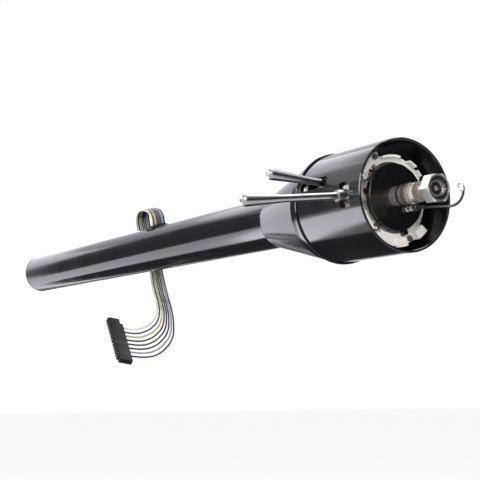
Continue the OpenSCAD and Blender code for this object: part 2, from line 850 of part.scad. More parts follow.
// The shoe's tail ends in a slope that the release arm's finger presses down.
function tail_outline() = let (e = tail_end - shoe_pin_x) [
    [0, tail_low], [e, tail_low], [e, tail_top - tail_slope_z], [e - tail_slope_x, tail_top], [0, tail_top],
];

module shoe_outline() {
    teeth = [for (a = [97.5:-tilt_step:82.5]) let (t = shoe_tooth(a)) each [t[3], t[2], t[1], t[0]]];
    inner_r = lock_r + tooth_h / 2 + move_gap;
    outer_r = inner_r + shoe_back;
    top = shoe_pin_z + shoe_top;
    shoe_back_x = polar([80, outer_r])[0];
    corners = concat([[103, outer_r], [103, inner_r]], teeth, [for (a = [75:-8:43]) [a, inner_r]]);
    difference() {
        union() {
            polygon(concat([for (p = corners) polar(p)], [[shoe_pin_x, top], [shoe_back_x, top]]));
            translate([shoe_pin_x, shoe_pin_z]) circle(r = shoe_boss_r);
            polygon([for (p = tail_outline()) p + [shoe_pin_x, shoe_pin_z]]);
        }
        translate([shoe_pin_x, shoe_pin_z]) circle(r = shoe_pin_r + run_gap);
    }
}

module lock_shoe() {
    color("#75787c") pivot_plate(shoe_y0, shoe_y1) shoe_outline();
}

module shoe_pin() {
    head_y = sqrt(head_r * head_r - shoe_pin_z * shoe_pin_z);
    color("#b9bcc0") shoe_pin_place(shoe_pin_r, -head_y, shoe_pin_end);
}

module release_pin() {
    length = arm_z + arm_h / 2 + 1 - release_pin_z;
    color("#b9bcc0") translate([arm_x, arm_y, release_pin_z]) cylinder(r = arm_pin_r, h = length);
}

// The tilt lever leans up a little as it leaves the release arm.
module tilt_lever_place() {
    translate([arm_x, arm_y, arm_z]) rotate([90 - tilt_rise, 0, 0]) children();
}

// The arm turns on its pin; its finger reaches over the housing and slides down the shoe's tail.
module release_arm() {
    bridge_z = shoe_pin_z + tail_top + bridge_gap;
    bridge_y = arm_y + bridge_in;
    tip_x = tail_end + finger_t;
    finger = [
        [tail_end + slope_gap, -tail_slope_z], [tip_x, -tail_slope_z], [tip_x, finger_root],
        [tail_end - tail_slope_x + slope_gap - bridge_gap, finger_root],
    ];
    color("#75787c") difference() {
        union() {
            translate([arm_x, arm_y, arm_z - arm_h / 2]) cylinder(r = arm_r, h = arm_h);
            translate([arm_x - arm_half, arm_y - arm_len, arm_z - arm_h / 2])
                cube([2 * arm_half, arm_len, arm_h]);
            translate([arm_x - bridge_half, bridge_y, arm_z])
                cube([2 * bridge_half, bridge_deep, bridge_z + bridge_t - arm_z]);
            translate([arm_x - bridge_half, bridge_y, bridge_z])
                cube([2 * bridge_half, shoe_y1 - finger_side - bridge_y, bridge_t]);
            pivot_plate(shoe_y0 + finger_side, shoe_y1 - finger_side)
                translate([0, bridge_z]) polygon(finger);
        }
        translate([arm_x, arm_y, 0]) cylinder(r = arm_pin_r + run_gap, h = arm_z + arm_h / 2 + over);
        tilt_lever_place() translate([0, 0, stud_hole]) cylinder(r = stud_r + press_gap, h = arm_len);
    }
}

// A lever's stem: a stud, a slim bar and a flared tip with a round end.
module lever_stem(start, tip, flare_r) {
    r = lever_d / 2;
    end_r = flare_r * flare_round;
    steps = 6;
    dome = [for (i = [0:steps]) let (a = 90 * i / steps)
        [flare_r - end_r + end_r * cos(a), tip - end_r + end_r * sin(a)]];
    rotate_extrude() polygon(concat([[0, stud_in], [stud_r, stud_in], [stud_r, start], [r, start + 0.5],
        [r, tip - flare_len - end_r]], dome, [[0, tip]]));
}

module tilt_lever() {
    color("#c9cbce") tilt_lever_place()
        lever_stem(arm_len + move_gap, tilt_lever_len, lever_d / 2 + tilt_flare);
}

// Turn-signal switch

module carrier_place() {
    translate([lever_x, carrier_y, 0]) rotate([90 + turn_slope, 0, 0]) children();
}

// White nylon switch body: plate, ring deck and raised blocks.

module switch_base() {
    color("#e9e6dd") difference() {
        union() {
            difference() {
                union() {
                    ring_x(switch_x, deck_x, deck_in + over, shaft_bore_r + over);
                    for (s = switch_arcs) ring_arc(switch_x, s[3], deck_in, switch_r - s[2], s[0], s[1]);
                }
                for (r = [deck_in + groove_land:groove_pitch:switch_r - groove_edge])
                    ring_x(deck_front - groove_depth, deck_front + over, r + groove_half, r - groove_half);
            }
            for (b = switch_blocks)
                ring_arc(deck_x, deck_front + b[3], finger_r + block_gap, switch_r + b[2], b[0], b[1]);
        }
        switch_window();
        bolt_places() bar_x(switch_x - over, switch_x + bolt_head_h + bolt_room, bolt_head_r + bolt_room);
        for (a = switch_screw_angles) rotate([a, 0, 0]) translate([0, switch_screw_ring, 0])
            bar_x(switch_x - over, deck_front + window_deep, switch_screw_r + slide_gap);
        switch_spring_places()
            cylinder(r = spring_loop_r + spring_loop_wire + move_gap, h = 2 * spring_loop_wire + over);
    }
}

// Opening in the deck for the lever carrier; the carrier's post is left standing.
module switch_window() {
    window_in = deck_in - window_lap;
    length = switch_r + window_reach - window_in;
    difference() {
        translate([deck_x, -switch_r - window_reach, -carrier_window])
            cube([window_deep, length, 2 * carrier_window]);
        translate([0, carrier_y, 0]) bar_x(deck_x - over, deck_front - move_gap, post_r);
    }
}

// Seats of the two wire springs, sunk in the deck's inner edge.
module switch_spring_places() {
    for (a = spring_angles) rotate([a, 0, 0])
        translate([deck_front - 2 * spring_loop_wire, deck_in + spring_loop_in, 0])
            rotate([0, 90, 0]) children();
}

module switch_screws() {
    color("#9a9da1") for (a = switch_screw_angles) rotate([a, 0, 0]) translate([0, switch_screw_ring, 0]) {
        bar_x(web_x - web_t, deck_front, switch_screw_r);
        on_x(deck_front) cylinder(r1 = switch_screw_head_r, r2 = switch_screw_top_r, h = switch_screw_head_h);
    }
}

// Wire detent springs, one loop in each seat of the deck.
module switch_springs() {
    color("#8a5a3a") switch_spring_places() translate([0, 0, spring_loop_wire])
        rotate_extrude() translate([spring_loop_r, 0]) circle(r = spring_loop_wire);
}

// Copper contact strip on the carrier's face.
module switch_contact() {
    color("#b0703c") translate([deck_front, carrier_y + contact_off, contact_z])
        cube([contact_t, contact_w, contact_h]);
}

// The lever's carrier turns on a post of the switch.
module lever_carrier() {
    x0 = deck_x + move_gap;
    half = carrier_half;
    step_y = finger_r + block_gap;
    high = deck_front + flag_t - x0;
    color("#e9e6dd") difference() {
        union() {
            translate([0, carrier_y, 0]) bar_x(x0, deck_front, carrier_r);
            translate([x0, -carrier_end, -half]) cube([deck_front - x0, carrier_end + carrier_y, 2 * half]);
            translate([x0, -carrier_end, -half]) cube([high, carrier_end - step_y, 2 * half]);
            translate([deck_front, flag_in - carrier_end, -half - flag_drop])
                cube([flag_t, flag_w, 2 * half + flag_drop + flag_top]);
        }
        translate([0, carrier_y, 0]) bar_x(deck_x - over, deck_front + over, post_r + run_gap);
        carrier_place() translate([0, 0, stud_hole]) cylinder(r = stud_r + press_gap, h = carrier_end);
    }
}

module turn_lever() {
    color("#c9cbce") carrier_place() {
        lever_stem(hub_start, turn_lever_len, lever_d / 2 + turn_flare);
        translate([0, 0, hub_start]) difference() {
            cylinder(r1 = hub_r, r2 = hub_r - hub_taper, h = hub_len);
            translate([0, 0, -over]) cylinder(r = stud_r - slide_gap, h = hub_len + 2 * over);
        }
    }
}

module hazard_knob() {
    head_y = bell_r + hazard_travel + hazard_head_gap;
    top_y = head_y + hazard_head_h;
    hazard_r = hazard_d / 2;
    color("#1d1d1f") translate([lever_x, 0, 0]) rotate([-90, 0, 0]) {
        translate([0, 0, hazard_stem_in]) cylinder(r = hazard_stem_r, h = head_y - hazard_stem_in + over);
        translate([0, 0, head_y]) cylinder(r = hazard_r, h = hazard_head_h);
        translate([0, 0, top_y]) cylinder(r1 = hazard_r, r2 = hazard_r - hazard_top_in, h = hazard_top_h);
    }
}

// Upper shaft with its tang, bearing seats, grooves, wheel spline and thread

module spline_outline() {
    step = 360 / spline_teeth;
    polygon([for (i = [0:spline_teeth - 1]) each [
        polar([i * step, spline_root]), polar([(i + 0.25) * step, spline_root]),
        polar([(i + 0.45) * step, spline_r]), polar([(i + 0.8) * step, spline_r]),
    ]]);
}

module upper_shaft() {
    mid_x0 = rear_bearing_x + bearing_w;
    mid_x1 = front_bearing_x;
    end_x = head_x - tang_root;
    snap_in = seat_r - snap_depth;
    snap_x0 = snap_x - run_gap;
    snap_x1 = snap_x + snap_w + run_gap;
    groove_r = seat_r - groove_in;
    groove_end = groove_x + groove_w;
    tang_half = tang_h / 2;
    lean = tan(tilt_max + tang_ease);
    tang_tip = tang_gap + tang_t / 2 * lean;
    tang_edge = tang_tip + tang_half * lean;
    tang_end = end_x + over - pivot_x;
    profile = [
        [end_x, 0], [end_x, seat_r - end_bevel], [end_x + end_bevel, seat_r], [mid_x0, seat_r],
        [mid_x0, shoulder_r], [mid_x1, shoulder_r], [mid_x1, seat_r],
        [snap_x0, seat_r], [snap_x0, snap_in], [snap_x1, snap_in], [snap_x1, seat_r],
        [groove_x, seat_r], [groove_x + groove_slope, groove_r], [groove_end, groove_r],
        [groove_end + groove_slope, seat_r], [neck_x, seat_r], [neck_x + neck_len, neck_r],
        [spline_x, neck_r], [spline_x, spline_root], [nut_x, spline_root], [nut_x, thread_r],
        [shaft_front - thread_bevel, thread_r], [shaft_front, thread_r - thread_bevel], [shaft_front, 0],
    ];
    color("#aeb1b5") difference() {
        union() {
            turned_x(profile);
            on_x(spline_x) linear_extrude(spline_len) spline_outline();
            intersection() {
                pivot_plate(-tang_t / 2, tang_t / 2) polygon([[tang_tip, 0], [tang_edge, tang_half],
                    [tang_end, tang_half], [tang_end, -tang_half], [tang_edge, -tang_half]]);
                bar_x(pivot_x, head_x, tang_half);
            }
        }
        on_x(shaft_front - centre_len)
            cylinder(r1 = centre_tip_r, r2 = centre_r, h = centre_len + press_gap);
    }
}

module wheel_nut() {
    nut_r = nut_flats / 2 / cos(30);
    nut_end = nut_x + nut_h;
    color("#c6c9cc") difference() {
        intersection() {
            on_x(nut_x) rotate([0, 0, nut_turn]) cylinder(r = nut_r, h = nut_h, $fn = 6);
            turned_x([[nut_x, 0], [nut_x, nut_r - nut_foot], [nut_x + nut_foot, nut_r + slide_gap],
                [nut_end - nut_bevel, nut_r + slide_gap], [nut_end, nut_r - nut_round], [nut_end, 0]]);
        }
        bar_x(nut_x - over, nut_end + over, thread_r + press_gap);
        on_x(nut_end - nut_dish)
            cylinder(r1 = thread_r, r2 = thread_r + nut_dish_w, h = nut_dish + press_gap);
    }
}

// Cancelling cam: a black disc with a hub, a cancelling finger and a seat for the horn contact.
module cancel_cam() {
    disc_x = cam_x - cam_t;
    hub_x = deck_x + cam_hub_gap;
    hub_ri = seat_r + press_gap;
    hub_ro = seat_r + cam_hub_w;
    cam_r = cam_d / 2;
    a0 = finger_angle - finger_half;
    a1 = finger_angle + finger_half;
    color("#131315") {
        turned_x([[hub_x, hub_ri], [hub_x, hub_ro], [disc_x, hub_ro], [disc_x, cam_r],
            [cam_x - cam_bevel, cam_r], [cam_x, cam_r - cam_bevel], [cam_x, hub_ri]]);
        ring_slice(disc_x, cam_x - cam_bevel, cam_r - finger_in, finger_r, a0, a1);
    }
}

module cam_spring() {
    x0 = head_front + cam_spring_gap;
    x1 = deck_x + cam_hub_gap - cam_spring_gap;
    color("#9ea2a6") coil_x(x0, x1, seat_r + 2 * cam_spring_wire, cam_spring_wire, cam_spring_turns);
}

module snap_ring() {
    color("#4a4c50") difference() {
        ring_x(snap_x, snap_x + snap_w, snap_r, seat_r - snap_depth + press_gap);
        translate([snap_x - over, -snap_half, 0]) cube([snap_w + 2 * over, 2 * snap_half, snap_r + over]);
    }
}

// Horn contact: a plastic tower on the cam, a metal plunger, a collar, the lead and its eyelet

module horn_tower() {
    color("#131315") translate([0, 0, horn_z]) bar_x(cam_x, cam_x + horn_tower_len, horn_r);
}

module horn_contact() {
    x0 = cam_x + horn_tower_len;
    x1 = x0 + horn_contact_len;
    color("#b9bcc0") translate([0, 0, horn_z]) turned_x([[x0, 0], [x0, horn_contact_r],
        [x0 + 4, horn_contact_r], [x0 + 4.5, horn_neck_r], [x0 + 6, horn_neck_r],
        [x0 + 6.5, horn_contact_r], [x0 + 9, horn_contact_r], [x0 + 9.5, horn_neck_r],
        [x1, horn_neck_r], [x1, 0]]);
}

module horn_collar() {
    x0 = cam_x + horn_tower_len + horn_contact_len;
    x1 = x0 + horn_collar_len;
    color("#131315") translate([0, 0, horn_z]) turned_x([[x0, 0], [x0, horn_r - horn_edge],
        [x0 + horn_edge, horn_r], [x1 - horn_round, horn_r], [x1, horn_r - horn_round], [x1, 0]]);
}

module horn_wire() {
    color("#18181a") cord(horn_route, [for (p = horn_route) [0, 1, 0]], horn_wire_d);
}

// Wire eyelet crimped on the end of the horn lead.
module horn_eyelet() {
    end = horn_route[len(horn_route) - 1];
    color("#b9bcc0") translate(end) {
        cylinder(r = horn_wire_d / 2 + eyelet_wall, h = eyelet_len);
        translate([-eyelet_r, 0, eyelet_len + eyelet_wire_r]) rotate([90, 0, 0]) rotate_extrude()
            translate([eyelet_r, 0]) circle(r = eyelet_wire_r, $fn = 24);
    }
}

// Lower shaft with its tang and stub, and the ball that centres the joint

module lower_shaft() {
    stub_end = tube_end - stub_len;
    front = pivot_x - joint_r - tang_gap;
    groove_r = shaft_r - clip_depth;
    profile = [
        [stub_end, 0], [stub_end, shaft_r - stub_bevel], [stub_end + stub_bevel, shaft_r],
        [clip_x - run_gap, shaft_r],
        [clip_x - run_gap, groove_r], [clip_x + clip_w + run_gap, groove_r],
        [clip_x + clip_w + run_gap, shaft_r], [front, shaft_r], [front, 0],
    ];
    color("#b4b7ba") union() {
        turned_x(profile);
        intersection() {
            translate([front - over, -tang_h / 2, -tang_t / 2])
                cube([pivot_x - tang_gap - front + over, tang_h, tang_t]);
            bar_x(front - over, pivot_x, shaft_r);
        }
    }
}

module shaft_clip() {
    color("#4a4c50") difference() {
        ring_x(clip_x, clip_x + clip_w, shaft_r + clip_lip, shaft_r - clip_depth + press_gap);
        translate([clip_x - over, -clip_half, 0])
            cube([clip_w + 2 * over, 2 * clip_half, shaft_r + clip_lip + over]);
    }
}

// The ball has a close slot for the lower tang and, across it, a wide one in which the upper tang sways.
module centring_ball() {
    wide = tang_t / 2 + tang_sway;
    color("#e2ddcc") difference() {
        translate([pivot_x, 0, 0]) sphere(r = joint_r);
        translate([pivot_x - joint_r - over, -joint_r, -tang_t / 2 - press_gap])
            cube([joint_r + over - tang_gap + press_gap, 2 * joint_r, tang_t + 2 * press_gap]);
        translate([pivot_x + slot_floor, -wide, -joint_r - over])
            cube([joint_r + over, 2 * wide, 2 * joint_r + 2 * over]);
    }
}

// Harness

function mix_route(k) = let (u = k / (wire_count - 1))
    [for (i = [0:len(route_first) - 1]) route_first[i] * (1 - u) + route_last[i] * u];

// The flat ribbon: a sweep from the first wire to the last, with bevelled corners.
module harness_ribbon() {
    r = wire_d / 2;
    section = [[-1, -0.5], [-0.5, -1], [0.5, -1], [1, -0.5], [1, 0.5], [0.5, 1], [-0.5, 1], [-1, 0.5]];
    points = [for (i = [0:ribbon_rings - 1])
        let (a = route_first[i], b = route_last[i], t = along((route_first + route_last) / 2, i),
            w = square_to(t, b - a), v = cross(w, t))
        each [for (c = section) (c[0] < 0 ? a : b) + r * (c[0] * w + c[1] * v)]];
    color("#2b2c30") polyhedron(points, tube_faces(ribbon_rings, len(section)));
}

// One wire from the end of the ribbon to the connector.
module fan_wire(k) {
    route = mix_route(k);
    span = [ribbon_rings - 1:len(route) - 1];
    cord([for (i = span) route[i]], [for (i = span) route_last[i] - route_first[i]], wire_d);
}
module wire_white() { color("#e8e8e6") fan_wire(0); }
module wire_green() { color("#1f4a35") fan_wire(1); }
module wire_yellow() { color("#d8c27a") fan_wire(2); }
module wire_brown() { color("#5a3a28") fan_wire(3); }
module wire_purple() { color("#4b3a66") fan_wire(4); }
module wire_blue() { color("#22305c") fan_wire(5); }
module wire_sky() { color("#8fb4d8") fan_wire(6); }
module wire_black() { color("#1c1c1e") fan_wire(7); }

// Flat connector in two pieces, with ribs along its mating edge.
module conn_block(s0, s1) {
    translate(conn_pos) rotate(conn_turn) {
        translate([s0, -conn_depth / 2 + conn_rib, -conn_t / 2])
            cube([s1 - s0, conn_depth - conn_rib, conn_t]);
        for (s = [s0 + conn_rib_pitch / 4:conn_rib_pitch:s1 - conn_rib_pitch / 2])
            translate([s, -conn_depth / 2, -conn_t / 2])
                cube([conn_rib_pitch / 2, conn_rib + over, conn_t]);
    }
}
module connector_body() {
    color("#1b1b1d") difference() {
        conn_block(-conn_len / 2, conn_cut);
        translate(conn_pos) rotate(conn_turn)
            translate([-conn_len / 2 - over, conn_depth / 2 - conn_key, -conn_t / 2 - over])
                cube([conn_key_len + over, conn_key + over, conn_t + 2 * over]);
    }
}
module connector_end() { color("#1b1b1d") conn_block(conn_cut + press_gap, conn_len / 2); }

column_tube();
end_plug();
lower_bearing();
harness_grommet();
lower_bell();
tilt_support();
support_screws();
support_bush();
pivot_pins();
tilt_spring();
harness_ribbon();
wire_white();
wire_green();
wire_yellow();
wire_brown();
wire_purple();
wire_blue();
wire_sky();
wire_black();
connector_body();
connector_end();
head_housing();
bell();
housing_bolts();
front_bearing_cup();
front_bearing_balls();
rear_bearing_cup();
rear_bearing_balls();
shoe_pin();
release_pin();
spring_cup();
switch_base();
switch_screws();
switch_springs();
switch_contact();
upper_shaft();
front_bearing_cone();
rear_bearing_cone();
wheel_nut();
cancel_cam();
cam_spring();
snap_ring();
horn_tower();
horn_contact();
horn_collar();
horn_wire();
horn_eyelet();
lower_shaft();
shaft_clip();
centring_ball();
lever_carrier();
turn_lever();
release_arm();
tilt_lever();
lock_shoe();
hazard_knob();
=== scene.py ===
"""Looks of the tilting steering column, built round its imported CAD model."""

import logging
import math
from abc import ABC, abstractmethod
from collections.abc import Iterable, Sequence
from dataclasses import dataclass
from enum import Enum
from typing import Any

import bpy
from mathutils import Euler, Matrix, Vector


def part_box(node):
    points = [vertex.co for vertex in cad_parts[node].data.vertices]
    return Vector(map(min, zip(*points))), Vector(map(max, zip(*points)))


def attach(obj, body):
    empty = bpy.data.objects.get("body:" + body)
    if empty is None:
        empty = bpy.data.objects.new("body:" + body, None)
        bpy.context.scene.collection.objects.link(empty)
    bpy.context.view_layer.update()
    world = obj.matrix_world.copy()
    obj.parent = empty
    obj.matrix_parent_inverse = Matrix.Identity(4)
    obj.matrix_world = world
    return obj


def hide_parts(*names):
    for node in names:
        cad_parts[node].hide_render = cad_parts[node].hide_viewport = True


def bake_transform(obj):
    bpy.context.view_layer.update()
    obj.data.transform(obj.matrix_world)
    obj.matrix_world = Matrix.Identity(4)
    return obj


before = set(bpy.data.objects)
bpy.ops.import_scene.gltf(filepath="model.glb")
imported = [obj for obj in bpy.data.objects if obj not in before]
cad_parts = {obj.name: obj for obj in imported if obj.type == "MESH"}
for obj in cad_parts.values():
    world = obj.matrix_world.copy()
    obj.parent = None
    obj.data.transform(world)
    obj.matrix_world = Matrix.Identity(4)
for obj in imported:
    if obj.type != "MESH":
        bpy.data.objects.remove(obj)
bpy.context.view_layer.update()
NODES: dict[str, bpy.types.Object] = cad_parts
LOG = logging.getLogger("steering_column")
MM = 0.001

Pair = tuple[float, float]
Point = tuple[float, float, float]

# Most values of a noise texture lie in this range.
NOISE_SPAN = (0.3, 0.7)
# Depth of a bump as a share of its grain's size.
BUMP_DEPTH = 0.2
# How far light goes into nylon, in metres.
SKIN_DEPTH = 1.5 * MM
# Sockets of a colour mix: its two colours and its result.
MIX_A, MIX_B, MIX_RESULT = 6, 7, 2
# Sides of a small round piece, and steps round a ring, a wire's section and one turn of a coil.
ROUND_SIDES, RING_STEPS, SECTION_STEPS, COIL_STEPS = 20, 96, 12, 32
# Steps of a cord between two points of its route, and the fineness of its round section.
CORD_STEPS, CORD_ROUNDING = 8, 4
# Turn that lays along X what stands along Z.
ALONG_X = (0.0, math.pi / 2, 0.0)
# Noise of a finish's patches and of its grain.
PATCH_NOISE = {"Detail": 3.0, "Roughness": 0.55}
GRAIN_NOISE = {"Detail": 2.0, "Roughness": 0.5}
# First part of the name of each wire's vinyl.
VINYL = "wire_vinyl_"


def linear(hex_colour: str) -> tuple[float, float, float, float]:
    """Turns an sRGB hex colour into the linear colour that a shader takes.

    Args:
        hex_colour: Colour such as "#17181b".

    Returns:
        Red, green, blue and an alpha of 1.
    """
    channels = [int(hex_colour[i:i + 2], 16) / 255 for i in (1, 3, 5)]
    r, g, b = (c / 12.92 if c <= 0.04045 else ((c + 0.055) / 1.055) ** 2.4 for c in channels)
    return r, g, b, 1.0


def add_node(tree: bpy.types.NodeTree, kind: str, props: dict[str, Any] | None = None,
             values: dict[Any, Any] | None = None, links: dict[Any, Any] | None = None) -> bpy.types.Node:
    """Adds a node with its settings and links.

    Args:
        tree: Node tree that gets the node.
        kind: Blender's name of the node's type.
        props: Attributes of the node.
        values: Constant of each input, by name or number.
        links: Output socket that feeds each input, by name or number.

    Returns:
        The new node.
    """
    node = tree.nodes.new(kind)
    for key, value in (props or {}).items():
        setattr(node, key, value)
    for key, value in (values or {}).items():
        node.inputs[key].default_value = value
    for key, socket in (links or {}).items():
        tree.links.new(socket, node.inputs[key])
    return node


def placed(name: str, data: bpy.types.ID) -> bpy.types.Object:
    """Makes an object from its data and puts it in the scene.

    Args:
        name: Name of the object.
        data: Its mesh, curve, light or camera.

    Returns:
        The object, at the origin.
    """
    made = bpy.data.objects.new(name, data)
    bpy.context.scene.collection.objects.link(made)
    return made


class Grain(Enum):
    """How a surface was made, which sets the pattern of its bump."""

    SPRAYED = "sprayed"
    MOULDED = "moulded"
    CAST = "cast"
    TURNED = "turned"
    DRAWN = "drawn"


# Factor on a grain's coordinates along X, Y and Z, where a small one draws the grain out.
STRETCH = {Grain.TURNED: (1.0, 0.02, 0.02), Grain.DRAWN: (0.12, 1.0, 1.0)}
EVEN = (1.0, 1.0, 1.0)


@dataclass(frozen=True)
class Finish:
    """One finish of the column: its colours, gloss and the pattern that its making leaves."""

    name: str
    colour: str
    worn: str
    grain: Grain
    grain_mm: float
    bump: float
    rough: Pair
    metallic: float = 0.0
    ior: float = 1.5
    patch_mm: float = 18.0
    subsurface: float = 0.0

    def stretch(self) -> Point:
        """Gives the factor on the grain's coordinates along each axis."""
        return STRETCH.get(self.grain, EVEN)

    def material(self) -> bpy.types.Material:
        """Makes the material once and gives it back.

        Returns:
            The material with this finish's name.
        """
        found = bpy.data.materials.get(self.name)
        if found:
            return found
        made = bpy.data.materials.new(self.name)
        made.use_nodes = True
        tree = made.node_tree
        shader = tree.nodes["Principled BSDF"]
        place = add_node(tree, "ShaderNodeTexCoord").outputs["Object"]
        patch = add_node(tree, "ShaderNodeTexNoise", values={
            "Scale": 1 / (self.patch_mm * MM), **PATCH_NOISE}, links={"Vector": place})
        tone = add_node(tree, "ShaderNodeMix", {"data_type": "RGBA"}, {
            MIX_A: linear(self.colour), MIX_B: linear(self.worn)}, {0: patch.outputs["Fac"]})
        gloss = add_node(tree, "ShaderNodeMapRange", values={
            "From Min": NOISE_SPAN[0], "From Max": NOISE_SPAN[1],
            "To Min": self.rough[0], "To Max": self.rough[1]}, links={"Value": patch.outputs["Fac"]})
        lay = add_node(tree, "ShaderNodeMapping", values={"Scale": self.stretch()}, links={"Vector": place})
        fine = add_node(tree, "ShaderNodeTexNoise", values={
            "Scale": 1 / (self.grain_mm * MM), **GRAIN_NOISE},
            links={"Vector": lay.outputs["Vector"]})
        bump = add_node(tree, "ShaderNodeBump", values={
            "Strength": self.bump, "Distance": BUMP_DEPTH * self.grain_mm * MM},
            links={"Height": fine.outputs["Fac"]})
        constants = {"Metallic": self.metallic, "Subsurface Weight": self.subsurface,
                     "Subsurface Scale": SKIN_DEPTH}
        if not self.metallic:
            constants["IOR"] = self.ior
        for socket, value in constants.items():
            shader.inputs[socket].default_value = value
        tree.links.new(tone.outputs[MIX_RESULT], shader.inputs["Base Color"])
        tree.links.new(gloss.outputs["Result"], shader.inputs["Roughness"])
        tree.links.new(bump.outputs["Normal"], shader.inputs["Normal"])
        return made


# Sprayed black enamel on steel: deep gloss with a very slight orange peel that softens reflections.
BLACK_ENAMEL = Finish("black_enamel", "#0b0b0d", "#101013", Grain.SPRAYED, 2.2, 0.05, (0.1, 0.15),
                      patch_mm=40)
# Die-cast aluminium, left as cast: pale grey, dull, with a coarse skin.
CAST_ALUMINIUM = Finish("cast_aluminium", "#a3a6aa", "#8d9094", Grain.CAST, 0.9, 0.35, (0.42, 0.6), 1.0)
# Zinc-plated steel: light grey metal, a little cloudy.
ZINC_STEEL = Finish("zinc_plated_steel", "#a4a7ab", "#8a8d90", Grain.CAST, 0.7, 0.15, (0.3, 0.45), 1.0)
# Black-oxide steel: dark grey metal with a dull sheen.
OXIDE_STEEL = Finish("black_oxide_steel", "#3c3d40", "#2c2d30", Grain.CAST, 0.6, 0.2, (0.35, 0.5), 1.0)
# Turned steel: pale, with lathe lines round the axis, drawn coarse enough to show. A thin film of oil on
# them scatters some light, so it isn't wholly a metal.
TURNED_STEEL = Finish("lathe_turned_steel", "#e9dfd8", "#b8ada4", Grain.TURNED, 3.0, 0.9, (0.17, 0.32), 0.86,
                      patch_mm=30)
# Forged steel of the wheel nut: light grey and satin, in small patches.
NUT_STEEL = Finish("forged_nut_steel", "#dededf", "#bcbdc0", Grain.CAST, 0.8, 0.2, (0.3, 0.44), 1.0,
                   patch_mm=5)
# Ground bearing steel: smooth and bright, with faint rings.
BEARING_STEEL = Finish("ground_bearing_steel", "#c8cacd", "#b8babd", Grain.TURNED, 0.4, 0.1, (0.12, 0.2),
                       1.0)
# Polished plated steel of the levers: bright, with soft smears.
PLATED_STEEL = Finish("polished_plated_steel", "#b3b4b6", "#999a9d", Grain.CAST, 1.5, 0.05, (0.2, 0.3), 1.0)
# Drawn spring wire: mid-grey metal with lines along it.
SPRING_WIRE = Finish("drawn_spring_wire", "#9ea2a6", "#85898d", Grain.DRAWN, 0.5, 0.12, (0.28, 0.4), 1.0)
# Spring wire tinted brown by its heat treatment.
BROWN_WIRE = Finish("heat_tinted_spring_wire", "#7a4a2c", "#5c3520", Grain.DRAWN, 0.5, 0.12, (0.3, 0.45),
                    1.0)
# Copper contact strip, slightly tarnished.
COPPER = Finish("rolled_copper", "#b5723f", "#8a5230", Grain.DRAWN, 0.6, 0.15, (0.25, 0.4), 1.0, patch_mm=4)
# Tinned brass of the horn contact and the eyelet: pale and soft in its gloss.
TINNED_BRASS = Finish("tinned_brass", "#c0c1c2", "#a8a8a6", Grain.CAST, 0.6, 0.12, (0.22, 0.36), 1.0,
                      patch_mm=5)
# Moulded white nylon: slightly warm, lets a little light in, faint mould grain.
WHITE_NYLON = Finish("moulded_white_nylon", "#dddbd7", "#cbc8c1", Grain.MOULDED, 0.7, 0.12, (0.38, 0.5),
                     ior=1.53, subsurface=0.15)
# Glass-filled nylon of the lever carrier: greyer and duller than the switch.
FILLED_NYLON = Finish("glass_filled_nylon", "#8f8d8a", "#7d7b77", Grain.MOULDED, 0.5, 0.2, (0.45, 0.6),
                      ior=1.53)
# Unfilled nylon of the joint ball and bush: warmer white, waxy.
JOINT_NYLON = Finish("unfilled_nylon", "#ddd7c6", "#cfc8b4", Grain.MOULDED, 0.8, 0.1, (0.35, 0.5),
                     ior=1.53, subsurface=0.15)
# Moulded black nylon of the cam, collar and knob: deep black, semi-gloss.
BLACK_NYLON = Finish("moulded_black_nylon", "#060607", "#0a0a0b", Grain.MOULDED, 0.6, 0.12, (0.2, 0.3),
                     ior=1.53)
# Black polypropylene of the connector: near black with a matt mould texture.
CONNECTOR_PLASTIC = Finish("moulded_black_polypropylene", "#141415", "#0e0e0f", Grain.MOULDED, 0.9, 0.3,
                           (0.45, 0.6), ior=1.49)
# The same plastic on the seam's lip, smoother, with a painted highlight: its grey colour stands for the
# light that the lip catches.
SEAM_PAINTED_HIGHLIGHT = Finish("rubbed_polypropylene", "#6a6a6c", "#58585a", Grain.MOULDED, 0.9, 0.1, (0.25, 0.4),
                      ior=1.49)
# Black rubber of the grommet: matt and soft.
GROMMET_RUBBER = Finish("black_rubber", "#111112", "#1a1a1b", Grain.MOULDED, 1.1, 0.3, (0.6, 0.75), ior=1.52)


def vinyl(name: str, colour: str, worn: str) -> Finish:
    """Gives the finish of a wire's vinyl: smooth, semi-gloss, with a faint drawn line."""
    return Finish(VINYL + name, colour, worn, Grain.DRAWN, 0.8, 0.08, (0.26, 0.38), ior=1.53, patch_mm=9)


def give_finish(finish: Finish, *nodes: str) -> None:
    """Gives CAD nodes a finish.

    Args:
        finish: The finish.
        nodes: Names of the CAD nodes.
    """
    for name in nodes:
        slots = NODES[name].data.materials
        slots.clear()
        slots.append(finish.material())
        LOG.info("%s wears %s", name, finish.name)


def start_tree(name: str, inputs: dict[str, str]) -> tuple[bpy.types.NodeTree, bpy.types.Node]:
    """Starts a Geometry Nodes tree with named inputs.

    Args:
        name: Name of the tree.
        inputs: Kind of each input's socket, by the input's name.

    Returns:
        The tree, and the node that gives its inputs.
    """
    tree = bpy.data.node_groups.new(name, "GeometryNodeTree")
    for label, kind in inputs.items():
        tree.interface.new_socket(label, in_out="INPUT", socket_type=f"NodeSocket{kind}")
    tree.interface.new_socket("Pieces", in_out="OUTPUT", socket_type="NodeSocketGeometry")
    return tree, add_node(tree, "NodeGroupInput")


